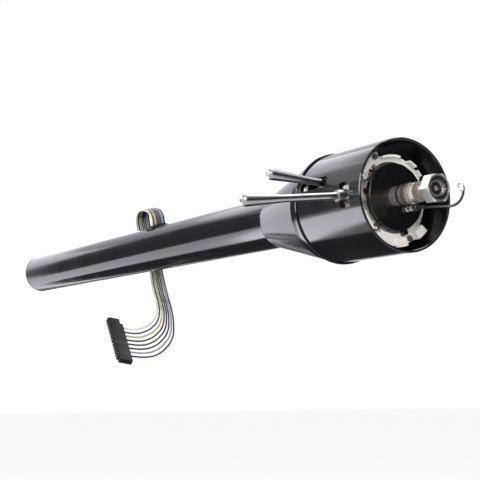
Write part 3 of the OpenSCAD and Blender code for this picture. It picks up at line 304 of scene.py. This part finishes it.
def end_tree(tree: bpy.types.NodeTree, pieces: bpy.types.NodeSocket, finish: Finish) -> None:
    """Ends a Geometry Nodes tree with real copies that have their material.

    Args:
        tree: The tree.
        pieces: Socket that gives the pieces.
        finish: Finish of the pieces.
    """
    solid = add_node(tree, "GeometryNodeRealizeInstances", links={"Geometry": pieces})
    clad = add_node(tree, "GeometryNodeSetMaterial", values={"Material": finish.material()},
                    links={"Geometry": solid.outputs["Geometry"]})
    add_node(tree, "NodeGroupOutput", links={"Pieces": clad.outputs["Geometry"]})


def evaluated(name: str, mesh: bpy.types.Mesh, tree: bpy.types.NodeTree,
              inputs: dict[str, Any]) -> bpy.types.Object:
    """Runs a Geometry Nodes tree on a mesh and keeps its result as a plain mesh.

    Args:
        name: Name of the piece.
        mesh: Mesh that the tree starts from.
        tree: The node tree.
        inputs: Value of each of the tree's inputs, by name.

    Returns:
        The piece, with one material and no modifier left on it.
    """
    piece = placed(name, mesh)
    nodes = piece.modifiers.new(name, "NODES")
    nodes.node_group = tree
    for item in tree.interface.items_tree:
        if item.in_out == "INPUT" and item.name in inputs:
            nodes[item.identifier] = inputs[item.name]
    graph = bpy.context.evaluated_depsgraph_get()
    made = bpy.data.meshes.new_from_object(piece.evaluated_get(graph))
    piece.modifiers.clear()
    piece.data = made
    made.name = name
    kept = next(m for m in made.materials if m)
    made.materials.clear()
    made.materials.append(kept)
    for face in made.polygons:
        face.material_index = 0
    return piece


class Shape(Enum):
    """Small piece that a set repeats."""

    ROUND = "GeometryNodeMeshCylinder"
    BLOCK = "GeometryNodeMeshCube"
    RING = "GeometryNodeCurvePrimitiveCircle"


@dataclass
class Repeat:
    """Set of like small pieces, one on each of its points, made with Geometry Nodes.

    The size holds a round piece's radius, nothing and its height, a block's three edges, or a ring's radius,
    the radius of its section and nothing, in millimetres.
    """

    name: str
    body: str
    shape: Shape
    size: Point
    finish: Finish

    def tree(self) -> bpy.types.NodeTree:
        """Builds the node tree that puts a piece on each point.

        Returns:
            The tree, with the points and the pieces' sizes as its inputs.
        """
        tree, given = start_tree(self.name, {
            "Points": "Geometry", "Width": "Float", "Depth": "Float", "Height": "Float"})
        kind = self.shape.value
        width, depth, height = (given.outputs[name] for name in ("Width", "Depth", "Height"))
        if self.shape is Shape.ROUND:
            piece = add_node(tree, kind, {"fill_type": "NGON"}, {"Vertices": ROUND_SIDES}, {
                "Radius": width, "Depth": height})
        elif self.shape is Shape.BLOCK:
            edges = add_node(tree, "ShaderNodeCombineXYZ", links={"X": width, "Y": depth, "Z": height})
            piece = add_node(tree, kind, links={"Size": edges.outputs["Vector"]})
        else:
            path = add_node(tree, kind, None, {"Resolution": RING_STEPS}, {"Radius": width})
            section = add_node(tree, kind, None, {"Resolution": SECTION_STEPS}, {"Radius": depth})
            piece = add_node(tree, "GeometryNodeCurveToMesh", links={
                "Curve": path.outputs["Curve"], "Profile Curve": section.outputs["Curve"]})
        turn, grow = (add_node(tree, "GeometryNodeInputNamedAttribute", {"data_type": "FLOAT_VECTOR"},
                               {"Name": name}).outputs["Attribute"] for name in ("turn", "grow"))
        copies = add_node(tree, "GeometryNodeInstanceOnPoints", links={
            "Points": given.outputs["Points"], "Instance": piece.outputs["Mesh"],
            "Rotation": turn, "Scale": grow})
        end_tree(tree, copies.outputs["Instances"], self.finish)
        return tree

    def build(self, places: Sequence[Matrix]) -> bpy.types.Object:
        """Makes the set as one plain mesh.

        Args:
            places: Place, turn and growth of each piece.

        Returns:
            The finished piece, riding on its body.
        """
        mesh = bpy.data.meshes.new(self.name)
        mesh.from_pydata([p.translation for p in places], [], [])
        for name in ("turn", "grow"):
            mesh.attributes.new(name, "FLOAT_VECTOR", "POINT")
        for i, place in enumerate(places):
            mesh.attributes["turn"].data[i].vector = place.to_euler()
            mesh.attributes["grow"].data[i].vector = place.to_scale()
        width, depth, height = self.size
        piece = evaluated(self.name, mesh, self.tree(), {
            "Width": width * MM, "Depth": depth * MM, "Height": height * MM})
        if self.shape is Shape.RING:
            piece.data.shade_smooth()
        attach(piece, self.body)
        return piece


@dataclass
class Coil:
    """Coil spring along X between two bodies, made with Geometry Nodes, with its sizes in millimetres."""

    name: str
    bodies: tuple[str, str]
    start: Point
    length: float
    radius: float
    wire_r: float
    turns: float
    finish: Finish

    def tree(self) -> bpy.types.NodeTree:
        """Builds the node tree that sweeps the wire along its spiral.

        Returns:
            The tree, with the coil's sizes as its inputs.
        """
        tree, given = start_tree(self.name, {
            "Turns": "Float", "Radius": "Float", "Length": "Float", "Wire": "Float", "Start": "Vector"})
        path = add_node(tree, "GeometryNodeCurveSpiral", None, {"Resolution": COIL_STEPS}, {
            "Rotations": given.outputs["Turns"], "Start Radius": given.outputs["Radius"],
            "End Radius": given.outputs["Radius"], "Height": given.outputs["Length"]})
        laid = add_node(tree, "GeometryNodeTransform", None, {"Rotation": ALONG_X}, {
            "Geometry": path.outputs["Curve"], "Translation": given.outputs["Start"]})
        section = add_node(tree, "GeometryNodeCurvePrimitiveCircle", None, {"Resolution": SECTION_STEPS},
                           {"Radius": given.outputs["Wire"]})
        wire = add_node(tree, "GeometryNodeCurveToMesh", None, {"Fill Caps": True}, {
            "Curve": laid.outputs["Geometry"], "Profile Curve": section.outputs["Curve"]})
        end_tree(tree, wire.outputs["Mesh"], self.finish)
        return tree

    def build(self) -> bpy.types.Object:
        """Makes the coil, laid in place.

        Returns:
            The finished piece.
        """
        start = Vector(self.start) * MM
        piece = evaluated(self.name, bpy.data.meshes.new(self.name), self.tree(), {
            "Turns": self.turns, "Radius": self.radius * MM, "Length": self.length * MM,
            "Wire": self.wire_r * MM, "Start": start})
        piece.data.shade_smooth()
        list(self.bodies)
        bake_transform(piece)
        return piece


def front(node: str) -> float:
    """Gives the place of a CAD node's front end along X, in millimetres."""
    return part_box(node)[1].x / MM


def across_x(x: float, radius: float = 0.0, angle: float = 0.0, grow: float = 1.0) -> Matrix:
    """Gives a place at a distance and an angle from the shaft's axis, facing along it.

    Args:
        x: Place along the axis, in millimetres.
        radius: Distance from the axis, in millimetres.
        angle: Angle round the axis from +Y towards +Z, in degrees.
        grow: Factor on the piece's size.

    Returns:
        The place with its turn and growth.
    """
    a = math.radians(angle)
    spot = Vector((x, radius * math.cos(a), radius * math.sin(a))) * MM
    return Matrix.LocRotScale(spot, Euler(ALONG_X), Vector((grow, grow, grow)))


def seen_rays(tree: bpy.types.NodeTree) -> bpy.types.NodeSocket:
    """Adds the nodes that tell rays that see a surface from rays that it only lights.

    Args:
        tree: Node tree of the floor or the surroundings.

    Returns:
        Socket that is 1 for a camera, glossy or transmission ray, and 0 for others.
    """
    ray = add_node(tree, "ShaderNodeLightPath")
    seen = ray.outputs["Is Camera Ray"]
    for kind in ("Is Glossy Ray", "Is Transmission Ray"):
        seen = add_node(tree, "ShaderNodeMath", {"operation": "MAXIMUM"},
                        links={0: seen, 1: ray.outputs[kind]}).outputs[0]
    return seen


def oblong(a: Pair, b: Pair) -> tuple[Pair, ...]:
    """Gives the corners of an oblong from its spans along two axes."""
    return (a[0], b[0]), (a[1], b[0]), (a[1], b[1]), (a[0], b[1])


class Axis(Enum):
    """Axis that a card stands across, as its number in a point."""

    X = 0
    Z = 2


@dataclass
class Card:
    """A flat card beside the set that only reflections see, with its place in metres."""

    name: str
    level: float
    axis: Axis
    at: float
    corners: tuple[Pair, ...]
    tint: str = "#f7f5ff"

    def place(self, corner: Pair) -> Sequence[float]:
        """Gives a corner's place.

        Args:
            corner: Its two coordinates, without the one along the card's own axis.

        Returns:
            The place with all three coordinates.
        """
        spot = list(corner)
        spot.insert(self.axis.value, self.at)
        return spot

    def build(self) -> bpy.types.Object:
        """Makes the card, which only glossy rays see.

        Returns:
            The card.
        """
        mesh = bpy.data.meshes.new(self.name)
        mesh.from_pydata([self.place(c) for c in self.corners], [], [tuple(range(len(self.corners)))])
        card = placed(self.name, mesh)
        made = bpy.data.materials.new(self.name)
        made.use_nodes = True
        tree = made.node_tree
        tree.nodes.clear()
        glow = add_node(tree, "ShaderNodeEmission", values={
            "Color": linear(self.tint), "Strength": self.level})
        add_node(tree, "ShaderNodeOutputMaterial", links={"Surface": glow.outputs["Emission"]})
        mesh.materials.append(made)
        for ray in ("camera", "diffuse", "shadow", "transmission", "volume_scatter"):
            setattr(card, f"visible_{ray}", False)
        return card


@dataclass
class Lamp:
    """A soft box, with its place in metres and its spread in degrees."""

    name: str
    centre: Point
    size: Pair
    look_at: Point
    watts: float
    spread: float = 180.0

    def build(self) -> bpy.types.Object:
        """Makes the lamp and turns it to what it lights.

        Returns:
            The lamp.
        """
        data = bpy.data.lights.new(self.name, "AREA")
        data.shape = "RECTANGLE"
        data.size, data.size_y = self.size
        data.energy = self.watts
        data.spread = math.radians(self.spread)
        lamp = placed(self.name, data)
        turn = (Vector(self.look_at) - Vector(self.centre)).to_track_quat("-Z", "Y")
        lamp.matrix_world = Matrix.Translation(self.centre) @ turn.to_matrix().to_4x4()
        return lamp


@dataclass
class Studio:
    """Camera, floor, lamps, cards and the white surroundings, in metres."""

    eye: Point = (1.0665, -0.6276, -0.1606)
    right: Point = (0.5191, 0.8547, 0.0)
    up: Point = (0.1049, -0.0637, 0.9924)
    back: Point = (0.8482, -0.5152, -0.1227)
    lens_mm: float = 88.38
    sensor_mm: float = 36.0
    shift: Pair = (-0.0038, 0.0019)
    clip: Pair = (0.05, 50.0)
    floor_z: float = -0.4
    floor_half: float = 9.0
    floor_colour: str = "#f4f4f4"
    floor_white: float = 0.9
    surround: float = 0.45
    lamps: tuple[Lamp, ...] = (
        Lamp("key_lamp", (1.5, -1.15, 0.45), (1.1, 1.1), (0.28, 0.0, 0.0), 36.0),
        Lamp("top_lamp", (-0.2, 0.5, 1.8), (1.6, 0.9), (0.0, 0.0, 0.0), 22.0),
        Lamp("side_lamp", (-0.45, -0.95, 0.5), (0.5, 0.5), (0.36, 0.0, 0.0), 1.1, 35.0),
    )
    cards: tuple[Card, ...] = (
        Card("left_panel", 2.3, Axis.X, -1.60, oblong((-0.42, 0.75), (-0.36, 0.55))),
        Card("middle_panel", 1.1, Axis.X, -1.60, oblong((-0.42, 0.75), (0.55, 0.93))),
        Card("top_panel", 2.6, Axis.X, -1.60, oblong((-0.42, 0.75), (0.93, 1.5))),
        Card("upper_flag", 0.16, Axis.X, -1.62, oblong((-1.5, -0.40), (-0.30, 0.86))),
        Card("low_flag", 0.25, Axis.X, -1.58, oblong((0.1, 1.3), (-0.385, -0.08))),
        Card("far_panel", 2.3, Axis.Z, -0.390, oblong((-2.0, -0.3), (-1.2, 0.4))),
        Card("near_panel", 6.5, Axis.Z, -0.384,
             ((-0.3, -0.15), (-0.54, -0.15), (-1.4, -1.01), (-1.1, -1.3), (-0.3, -0.6))),
        Card("lower_flag", 0.05, Axis.Z, -0.37,
             ((-1.3, -0.07), (-0.9, -0.14), (0.3, -0.14), (0.3, 1.2), (-1.3, 1.2))),
        Card("front_flag", 0.03, Axis.X, 1.35, oblong((-1.8, 1.6), (-0.8, 1.1))),
    )

    def build(self) -> None:
        """Makes the whole studio."""
        bpy.context.scene.view_settings.view_transform = "Standard"
        self.make_camera()
        self.make_world()
        self.make_floor()
        for piece in (*self.lamps, *self.cards):
            piece.build()
            LOG.info("studio: %s", piece.name)

    def make_camera(self) -> None:
        """Sets the camera at the photograph's viewing angle."""
        data = bpy.data.cameras.new("camera")
        data.lens, data.sensor_width = self.lens_mm, self.sensor_mm
        data.shift_x, data.shift_y = self.shift
        data.clip_start, data.clip_end = self.clip
        camera = placed("camera", data)
        axes = Matrix((self.right, self.up, self.back)).transposed().to_4x4()
        camera.matrix_world = Matrix.Translation(self.eye) @ axes
        bpy.context.scene.camera = camera

    def make_world(self) -> None:
        """Makes surroundings that are white to the eye and in reflections, and light the part softly."""
        world = bpy.data.worlds.new("studio")
        bpy.context.scene.world = world
        world.use_nodes = True
        tree = world.node_tree
        tree.nodes.clear()
        level = add_node(tree, "ShaderNodeMapRange", values={"To Min": self.surround, "To Max": 1.0},
                         links={"Value": seen_rays(tree)})
        white = add_node(tree, "ShaderNodeBackground", values={"Color": (1, 1, 1, 1)},
                         links={"Strength": level.outputs["Result"]})
        add_node(tree, "ShaderNodeOutputWorld", links={"Surface": white.outputs["Background"]})

    def make_floor(self) -> None:
        """Makes the pale floor, which keeps the part's shadow."""
        span = (-self.floor_half, self.floor_half)
        mesh = bpy.data.meshes.new("floor")
        mesh.from_pydata([(x, y, self.floor_z) for x, y in oblong(span, span)], [], [(0, 1, 2, 3)])
        floor = placed("floor", mesh)
        made = bpy.data.materials.new("paper_floor")
        made.use_nodes = True
        tree = made.node_tree
        tree.nodes.clear()
        share = add_node(tree, "ShaderNodeMath", {"operation": "MULTIPLY"}, {1: self.floor_white},
                         {0: seen_rays(tree)})
        paper = add_node(tree, "ShaderNodeBsdfDiffuse", values={"Color": linear(self.floor_colour)})
        white = add_node(tree, "ShaderNodeEmission")
        both = add_node(tree, "ShaderNodeMixShader", links={
            0: share.outputs[0], 1: paper.outputs["BSDF"], 2: white.outputs["Emission"]})
        add_node(tree, "ShaderNodeOutputMaterial", links={"Surface": both.outputs["Shader"]})
        mesh.materials.append(made)


def cord_curve(name: str, route: Sequence[Vector], diameter: float, finish: Finish) -> bpy.types.Object:
    """Makes a round cord as one smooth open curve through its route.

    Args:
        name: Name of the piece.
        route: Points of the route, in metres.
        diameter: Diameter of the cord, in metres.
        finish: Finish of the cord.

    Returns:
        The curve object.
    """
    data = bpy.data.curves.new(name, "CURVE")
    data.dimensions = "3D"
    data.resolution_u = CORD_STEPS
    data.bevel_depth = diameter / 2
    data.bevel_resolution = CORD_ROUNDING
    data.use_fill_caps = True
    spline = data.splines.new("BEZIER")
    spline.bezier_points.add(len(route) - 1)
    for knot, place in zip(spline.bezier_points, route):
        knot.co = place
        knot.handle_left_type = knot.handle_right_type = "AUTO"
    data.materials.append(finish.material())
    return placed(name, data)


def route_length(route: Sequence[Vector]) -> float:
    """Gives the length of a route, in metres."""
    return sum((b - a).length for a, b in zip(route, route[1:]))


def through(points: Sequence[Vector], steps: int) -> list[Vector]:
    """Lays a smooth route through points.

    Args:
        points: Points of the route.
        steps: Parts that each stretch is divided into.

    Returns:
        The points with smooth ones between them.
    """
    out: list[Vector] = []
    for i in range(len(points) - 1):
        p0, p1 = points[max(i - 1, 0)], points[i]
        p2, p3 = points[i + 1], points[min(i + 2, len(points) - 1)]
        for k in range(steps):
            t = k / steps
            out.append(0.5 * (2 * p1 + (p2 - p0) * t + (2 * p0 - 5 * p1 + 4 * p2 - p3) * t ** 2
                              + (3 * p1 - p0 - 3 * p2 + p3) * t ** 3))
    return [*out, points[-1].copy()]


class SubAssembly(ABC):
    """A sub-assembly of the column, with its sizes in millimetres.

    It makes the pieces that are left to the scene and gives the CAD nodes their finishes.
    """

    def build(self) -> Iterable[bpy.types.Object]:
        """Makes the scene's own pieces, of which a sub-assembly may have none."""
        return ()

    @abstractmethod
    def dress(self) -> None:
        """Gives the CAD nodes their finishes."""


@dataclass
class Harness(SubAssembly):
    """Flat wiring harness: eight wires side by side, its grommet and its connector."""

    wire_mm: float = 2.0
    first: tuple[Point, ...] = (
        (-146, -13, 22), (-147, -13, 30), (-155, -12, 40), (-172, -9, 46), (-193, -4, 49), (-213, 2, 49),
        (-229, 8, 43), (-239, 15, 32), (-241, 22, 17), (-237, 28, 2), (-230, 27, -13), (-207, 20, -44),
        (-195, 18, -58), (-190, 17, -69), (-193, 16, -79), (-203, 14, -86), (-215, 11, -90),
        (-225, 5, -92), (-230, -12, -90),
    )
    last: tuple[Point, ...] = (
        (-146, 3, 25), (-147, 3, 33), (-155, 4, 43), (-171, 6, 49), (-191, 10, 52), (-209, 15, 51),
        (-221, 20, 45), (-227, 26, 34), (-228, 32, 18), (-224, 37, 2), (-217, 36, -14), (-189, 30, -50),
        (-172, 27, -70), (-161, 24, -89), (-158, 21, -104), (-163, 16, -115), (-172, 9, -123),
        (-182, 1, -126), (-190, -20, -125),
    )
    wires: tuple[Finish, ...] = (
        vinyl("white", "#d5d2c6", "#c2bfb2"), vinyl("green", "#21382c", "#1b2f25"),
        vinyl("yellow", "#b3a571", "#9c8f5e"), vinyl("brown", "#231a15", "#1b1410"),
        vinyl("purple", "#221c2f", "#1a1624"), vinyl("blue", "#141a2b", "#0f1421"),
        vinyl("sky", "#7e8aa3", "#6b778f"), vinyl("black", "#0c0c0e", "#131316"),
    )
    plug_at: Point = (-210, -23, -106)
    plug_turn: Point = (-12, 40, -12)
    plug_size: Point = (80, 18, 6)
    seam: Point = (1.0, 17.0, 0.5)
    seam_share: float = 0.58
    seam_off: float = 1.2
    sleeve: Point = (1.5, 0.0, 3.0)
    sleeve_sunk: float = 0.5

    def turned(self) -> Matrix:
        """Gives the connector's turn."""
        return Euler([math.radians(a) for a in self.plug_turn], "XYZ").to_matrix().to_4x4()

    def plug_place(self, along: float, across: float, out: float, lean: float = 0.0) -> Matrix:
        """Gives a place on the connector.

        Args:
            along: Distance from its middle along its length, in millimetres.
            across: Distance along its width, in millimetres.
            out: Distance along its thickness, in millimetres.
            lean: Turn about its length, in degrees.

        Returns:
            The place, in metres, with its turn.
        """
        spot = Matrix.Translation(Vector((along, across, out)))
        place = Matrix.Translation(Vector(self.plug_at)) @ self.turned() @ spot
        place.translation *= MM
        return place @ Matrix.Rotation(math.radians(lean), 4, "X")

    def routes(self) -> list[list[Vector]]:
        """Lays the wires side by side, from the ribbon's first edge to its last.

        Returns:
            Each wire's route, in metres.
        """
        shares = [i / (len(self.wires) - 1) for i in range(len(self.wires))]
        return [[Vector(a).lerp(Vector(b), share) * MM for a, b in zip(self.first, self.last)]
                for share in shares]

    def make_wire(self, finish: Finish, route: Sequence[Vector]) -> bpy.types.Object:
        """Makes one wire, from the grommet to the connector.

        Args:
            finish: Finish of the wire, whose name ends in its colour.
            route: Its route, in metres.

        Returns:
            The wire, which stands for its CAD solid; that solid is hidden.
        """
        colour = finish.name.removeprefix(VINYL)
        wire = cord_curve(f"harness_wire_{colour}", route, self.wire_mm * MM, finish)
        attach(wire, "column")
        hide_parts(f"wire_{colour}")
        tuple(route[0])
        round(route_length(route), 3)
        return wire

    def make_seam(self) -> bpy.types.Object:
        """Makes the lips of the seam on both faces of the connector, painted grey as a highlight.

        Returns:
            The two lips as one piece.
        """
        along = (self.seam_share - 0.5) * self.plug_size[0] + self.seam_off
        places = [self.plug_place(along, 0.0, side * self.plug_size[2] / 2) for side in (-1, 1)]
        # The lips wear the grey of a painted highlight.
        return Repeat("connector_seam", "column", Shape.BLOCK, self.seam, SEAM_PAINTED_HIGHLIGHT).build(places)

    def make_sleeves(self) -> bpy.types.Object:
        """Makes the sleeves in which the wires enter the connector.

        Returns:
            The sleeves as one piece.
        """
        across = self.plug_size[1] / 2 + self.sleeve[2] / 2 - self.sleeve_sunk
        places = []
        for route in self.routes():
            end = self.turned().inverted() @ (route[-1] / MM - Vector(self.plug_at))
            places.append(self.plug_place(end.x, across, end.z, lean=90))
        return Repeat("wire_sleeves", "column", Shape.ROUND, self.sleeve, BLACK_NYLON).build(places)

    def build(self) -> Iterable[bpy.types.Object]:
        """Makes the wires, and the connector's seam and sleeves.

        Returns:
            The pieces, one at a time.
        """
        wires = [self.make_wire(finish, route) for finish, route in zip(self.wires, self.routes())]
        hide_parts("harness_ribbon")
        yield from wires
        yield self.make_seam()
        yield self.make_sleeves()

    def dress(self) -> None:
        """Gives the grommet and the connector their finishes."""
        give_finish(GROMMET_RUBBER, "harness_grommet")
        give_finish(CONNECTOR_PLASTIC, "connector_body", "connector_end")


@dataclass
class HornLead(SubAssembly):
    """Horn contact below the shaft with its lead and eyelet."""

    wire_mm: float = 2.2
    points: tuple[Point, ...] = (
        (314.5, 0, -12.6), (321.5, 0, -13.6), (331.5, 0, -14.6), (342.5, 1, -15.6), (351.5, 1, -16.6),
        (358.5, 1, -16.6), (364.5, 1, -14.6), (368.5, 1, -10.6), (369.5, 1, -6.6),
    )
    steps: int = 2
    wire: Finish = vinyl("horn_black", "#141415", "#1d1d1f")

    def build(self) -> Iterable[bpy.types.Object]:
        """Makes the lead, from its collar to its eyelet.

        Returns:
            The lead, which stands for its CAD solid; that solid is hidden.
        """
        route = through([Vector(p) * MM for p in self.points], self.steps)
        lead = cord_curve("horn_lead", route, self.wire_mm * MM, self.wire)
        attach(lead, "steering_shaft")
        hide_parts("horn_wire")
        tuple(route[0])
        round(route_length(route), 4)
        yield lead

    def dress(self) -> None:
        """Gives the horn contact its finishes."""
        give_finish(BLACK_NYLON, "horn_tower", "horn_collar")
        give_finish(TINNED_BRASS, "horn_contact", "horn_eyelet")


@dataclass
class ColumnTube(SubAssembly):
    """Column tube with its cone, tilt support, lower shaft and lower end."""

    lip: Point = (25.9, 0.7, 0.0)
    lip_in: float = 0.5
    spring_at: Point = (169.1, 0.0, -28.0)
    spring_len: float = 47.3
    spring_r: float = 6.3
    spring_wire_r: float = 1.0
    spring_turns: float = 7.0

    def build(self) -> Iterable[bpy.types.Object]:
        """Makes the rolled lip where the cone meets the tube, and the tilt spring.

        Returns:
            The pieces, one at a time.
        """
        lip_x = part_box("lower_bell")[0].x / MM + self.lip_in
        yield Repeat("cone_lip", "column", Shape.RING, self.lip, BLACK_ENAMEL).build([across_x(lip_x)])
        spring = Coil("tilt_coil", ("column", "tilt_head"), self.spring_at, self.spring_len, self.spring_r,
                      self.spring_wire_r, self.spring_turns, SPRING_WIRE).build()
        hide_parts("tilt_spring")
        yield spring

    def dress(self) -> None:
        """Gives the tube's pieces their finishes."""
        give_finish(BLACK_ENAMEL, "column_tube", "lower_bell")
        give_finish(CAST_ALUMINIUM, "tilt_support")
        give_finish(OXIDE_STEEL, "end_plug", "shaft_clip")
        give_finish(ZINC_STEEL, "support_screws")
        give_finish(BEARING_STEEL, "lower_bearing")
        give_finish(TURNED_STEEL, "lower_shaft", "pivot_pins")
        give_finish(JOINT_NYLON, "support_bush", "centring_ball")


@dataclass
class TiltHead(SubAssembly):
    """Tilting head: bell, housing, bearings, lock shoe and release arm."""

    def dress(self) -> None:
        """Gives the head's pieces their finishes."""
        give_finish(BLACK_ENAMEL, "bell")
        give_finish(CAST_ALUMINIUM, "head_housing")
        give_finish(ZINC_STEEL, "housing_bolts", "spring_cup")
        for end in ("front", "rear"):
            give_finish(BEARING_STEEL, *(f"{end}_bearing_{piece}" for piece in ("cup", "balls", "cone")))
        give_finish(TURNED_STEEL, "shoe_pin", "release_pin")
        give_finish(OXIDE_STEEL, "lock_shoe", "release_arm")


@dataclass
class TurnSwitch(SubAssembly):
    """Turn-signal switch with its carrier, springs, contact and hazard knob."""

    loop: Point = (3.9, 0.42, 0.0)
    loop_lift: float = 0.2
    loop_ring: float = 33.0
    loop_angles: tuple[float, ...] = (133.0, 150.0, 237.0)
    rivet: Point = (0.9, 0.0, 0.8)
    rivet_lift: float = 0.1
    rivet_ring: float = 36.4
    rivet_angles: tuple[float, ...] = (157.0, 168.0, 180.0, 192.0, 218.0)
    knob_r: float = 6.5
    rib: Point = (0.45, 0.0, 3.2)
    rib_in: float = 4.45
    ribs: int = 20

    def rib_places(self) -> list[Matrix]:
        """Sets the grip ribs round the hazard knob, back from its end.

        Returns:
            Each rib's place and turn.
        """
        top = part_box("hazard_knob")[1] / MM
        centre = Vector((top.x - self.knob_r, top.y - self.rib_in, 0))
        places = []
        for i in range(self.ribs):
            a = math.tau * i / self.ribs
            spot = centre + self.knob_r * Vector((math.cos(a), 0, math.sin(a)))
            places.append(Matrix.Translation(spot * MM) @ Matrix.Rotation(math.pi / 2, 4, "X"))
        return places

    def build(self) -> Iterable[bpy.types.Object]:
        """Makes the spring loops and rivets of the switch and the grip ribs of the hazard knob.

        Returns:
            The pieces, one at a time.
        """
        deck = front("switch_springs")
        loops = [across_x(deck + self.loop_lift, self.loop_ring, a) for a in self.loop_angles]
        yield Repeat("switch_wire_loops", "tilt_head", Shape.RING, self.loop, BROWN_WIRE).build(loops)
        rivets = [across_x(deck + self.rivet_lift, self.rivet_ring, a) for a in self.rivet_angles]
        yield Repeat("switch_rivets", "tilt_head", Shape.ROUND, self.rivet, TINNED_BRASS).build(rivets)
        yield Repeat("hazard_knob_ribs", "hazard_knob", Shape.ROUND, self.rib,
                     BLACK_NYLON).build(self.rib_places())

    def dress(self) -> None:
        """Gives the switch's pieces their finishes."""
        give_finish(WHITE_NYLON, "switch_base")
        give_finish(FILLED_NYLON, "lever_carrier")
        give_finish(ZINC_STEEL, "switch_screws")
        give_finish(BROWN_WIRE, "switch_springs")
        give_finish(COPPER, "switch_contact")
        give_finish(BLACK_NYLON, "hazard_knob")


@dataclass
class SteeringShaft(SubAssembly):
    """Upper shaft with its nut, ring, cam and spring."""

    mark: Point = (2.5, 0.42, 0.0)
    mark_growth: tuple[float, ...] = (1.0, 1.35, 1.8)
    ring: Point = (9.05, 0.5, 0.0)
    ring_out: float = 4.0
    dish_depth: float = 3.6
    dish_r: Pair = (7.0, 10.0)
    thread_r: float = 0.34
    thread_turns: int = 5
    thread_start: float = 0.6
    thread_spare: float = 0.3

    def thread_places(self) -> list[Matrix]:
        """Sets the thread's turns up the cone of the nut's mouth.

        Returns:
            Each turn's place and growth.
        """
        inner, outer = self.dish_r
        places = []
        for i in range(self.thread_turns):
            share = (i + self.thread_start) / (self.thread_turns + self.thread_spare)
            radius = inner + share * (outer - inner)
            depth = self.dish_depth * (1 - share)
            places.append(across_x(front("wheel_nut") - depth, grow=radius / inner))
        return places

    def build(self) -> Iterable[bpy.types.Object]:
        """Makes the rings on the shaft's end and on the shaft, and the thread's turns in the nut's mouth.

        Returns:
            The pieces, one at a time.
        """
        marks = [across_x(front("upper_shaft"), grow=g) for g in self.mark_growth]
        thread = (self.dish_r[0], self.thread_r, 0.0)
        for name, size, places in (
            ("shaft_end_rings", self.mark, marks),
            ("shaft_wire_ring", self.ring, [across_x(front("bell") + self.ring_out)]),
            ("nut_thread", thread, self.thread_places()),
        ):
            yield Repeat(name, "steering_shaft", Shape.RING, size, OXIDE_STEEL).build(places)

    def dress(self) -> None:
        """Gives the shaft's pieces their finishes."""
        give_finish(TURNED_STEEL, "upper_shaft")
        give_finish(NUT_STEEL, "wheel_nut")
        give_finish(OXIDE_STEEL, "snap_ring")
        give_finish(BLACK_NYLON, "cancel_cam")
        give_finish(SPRING_WIRE, "cam_spring")


@dataclass
class Levers(SubAssembly):
    """Turn lever and tilt lever."""

    def dress(self) -> None:
        """Gives the levers their finish."""
        give_finish(PLATED_STEEL, "turn_lever", "tilt_lever")


def main() -> None:
    """Builds the studio and the sub-assemblies in order."""
    logging.basicConfig(level=logging.INFO, format="%(message)s")
    Studio().build()
    for part in (Harness(), HornLead(), ColumnTube(), TiltHead(), TurnSwitch(), SteeringShaft(), Levers()):
        for piece in part.build():
            LOG.info("made %s", piece.name)
        part.dress()


if __name__ == "__main__":
    main()
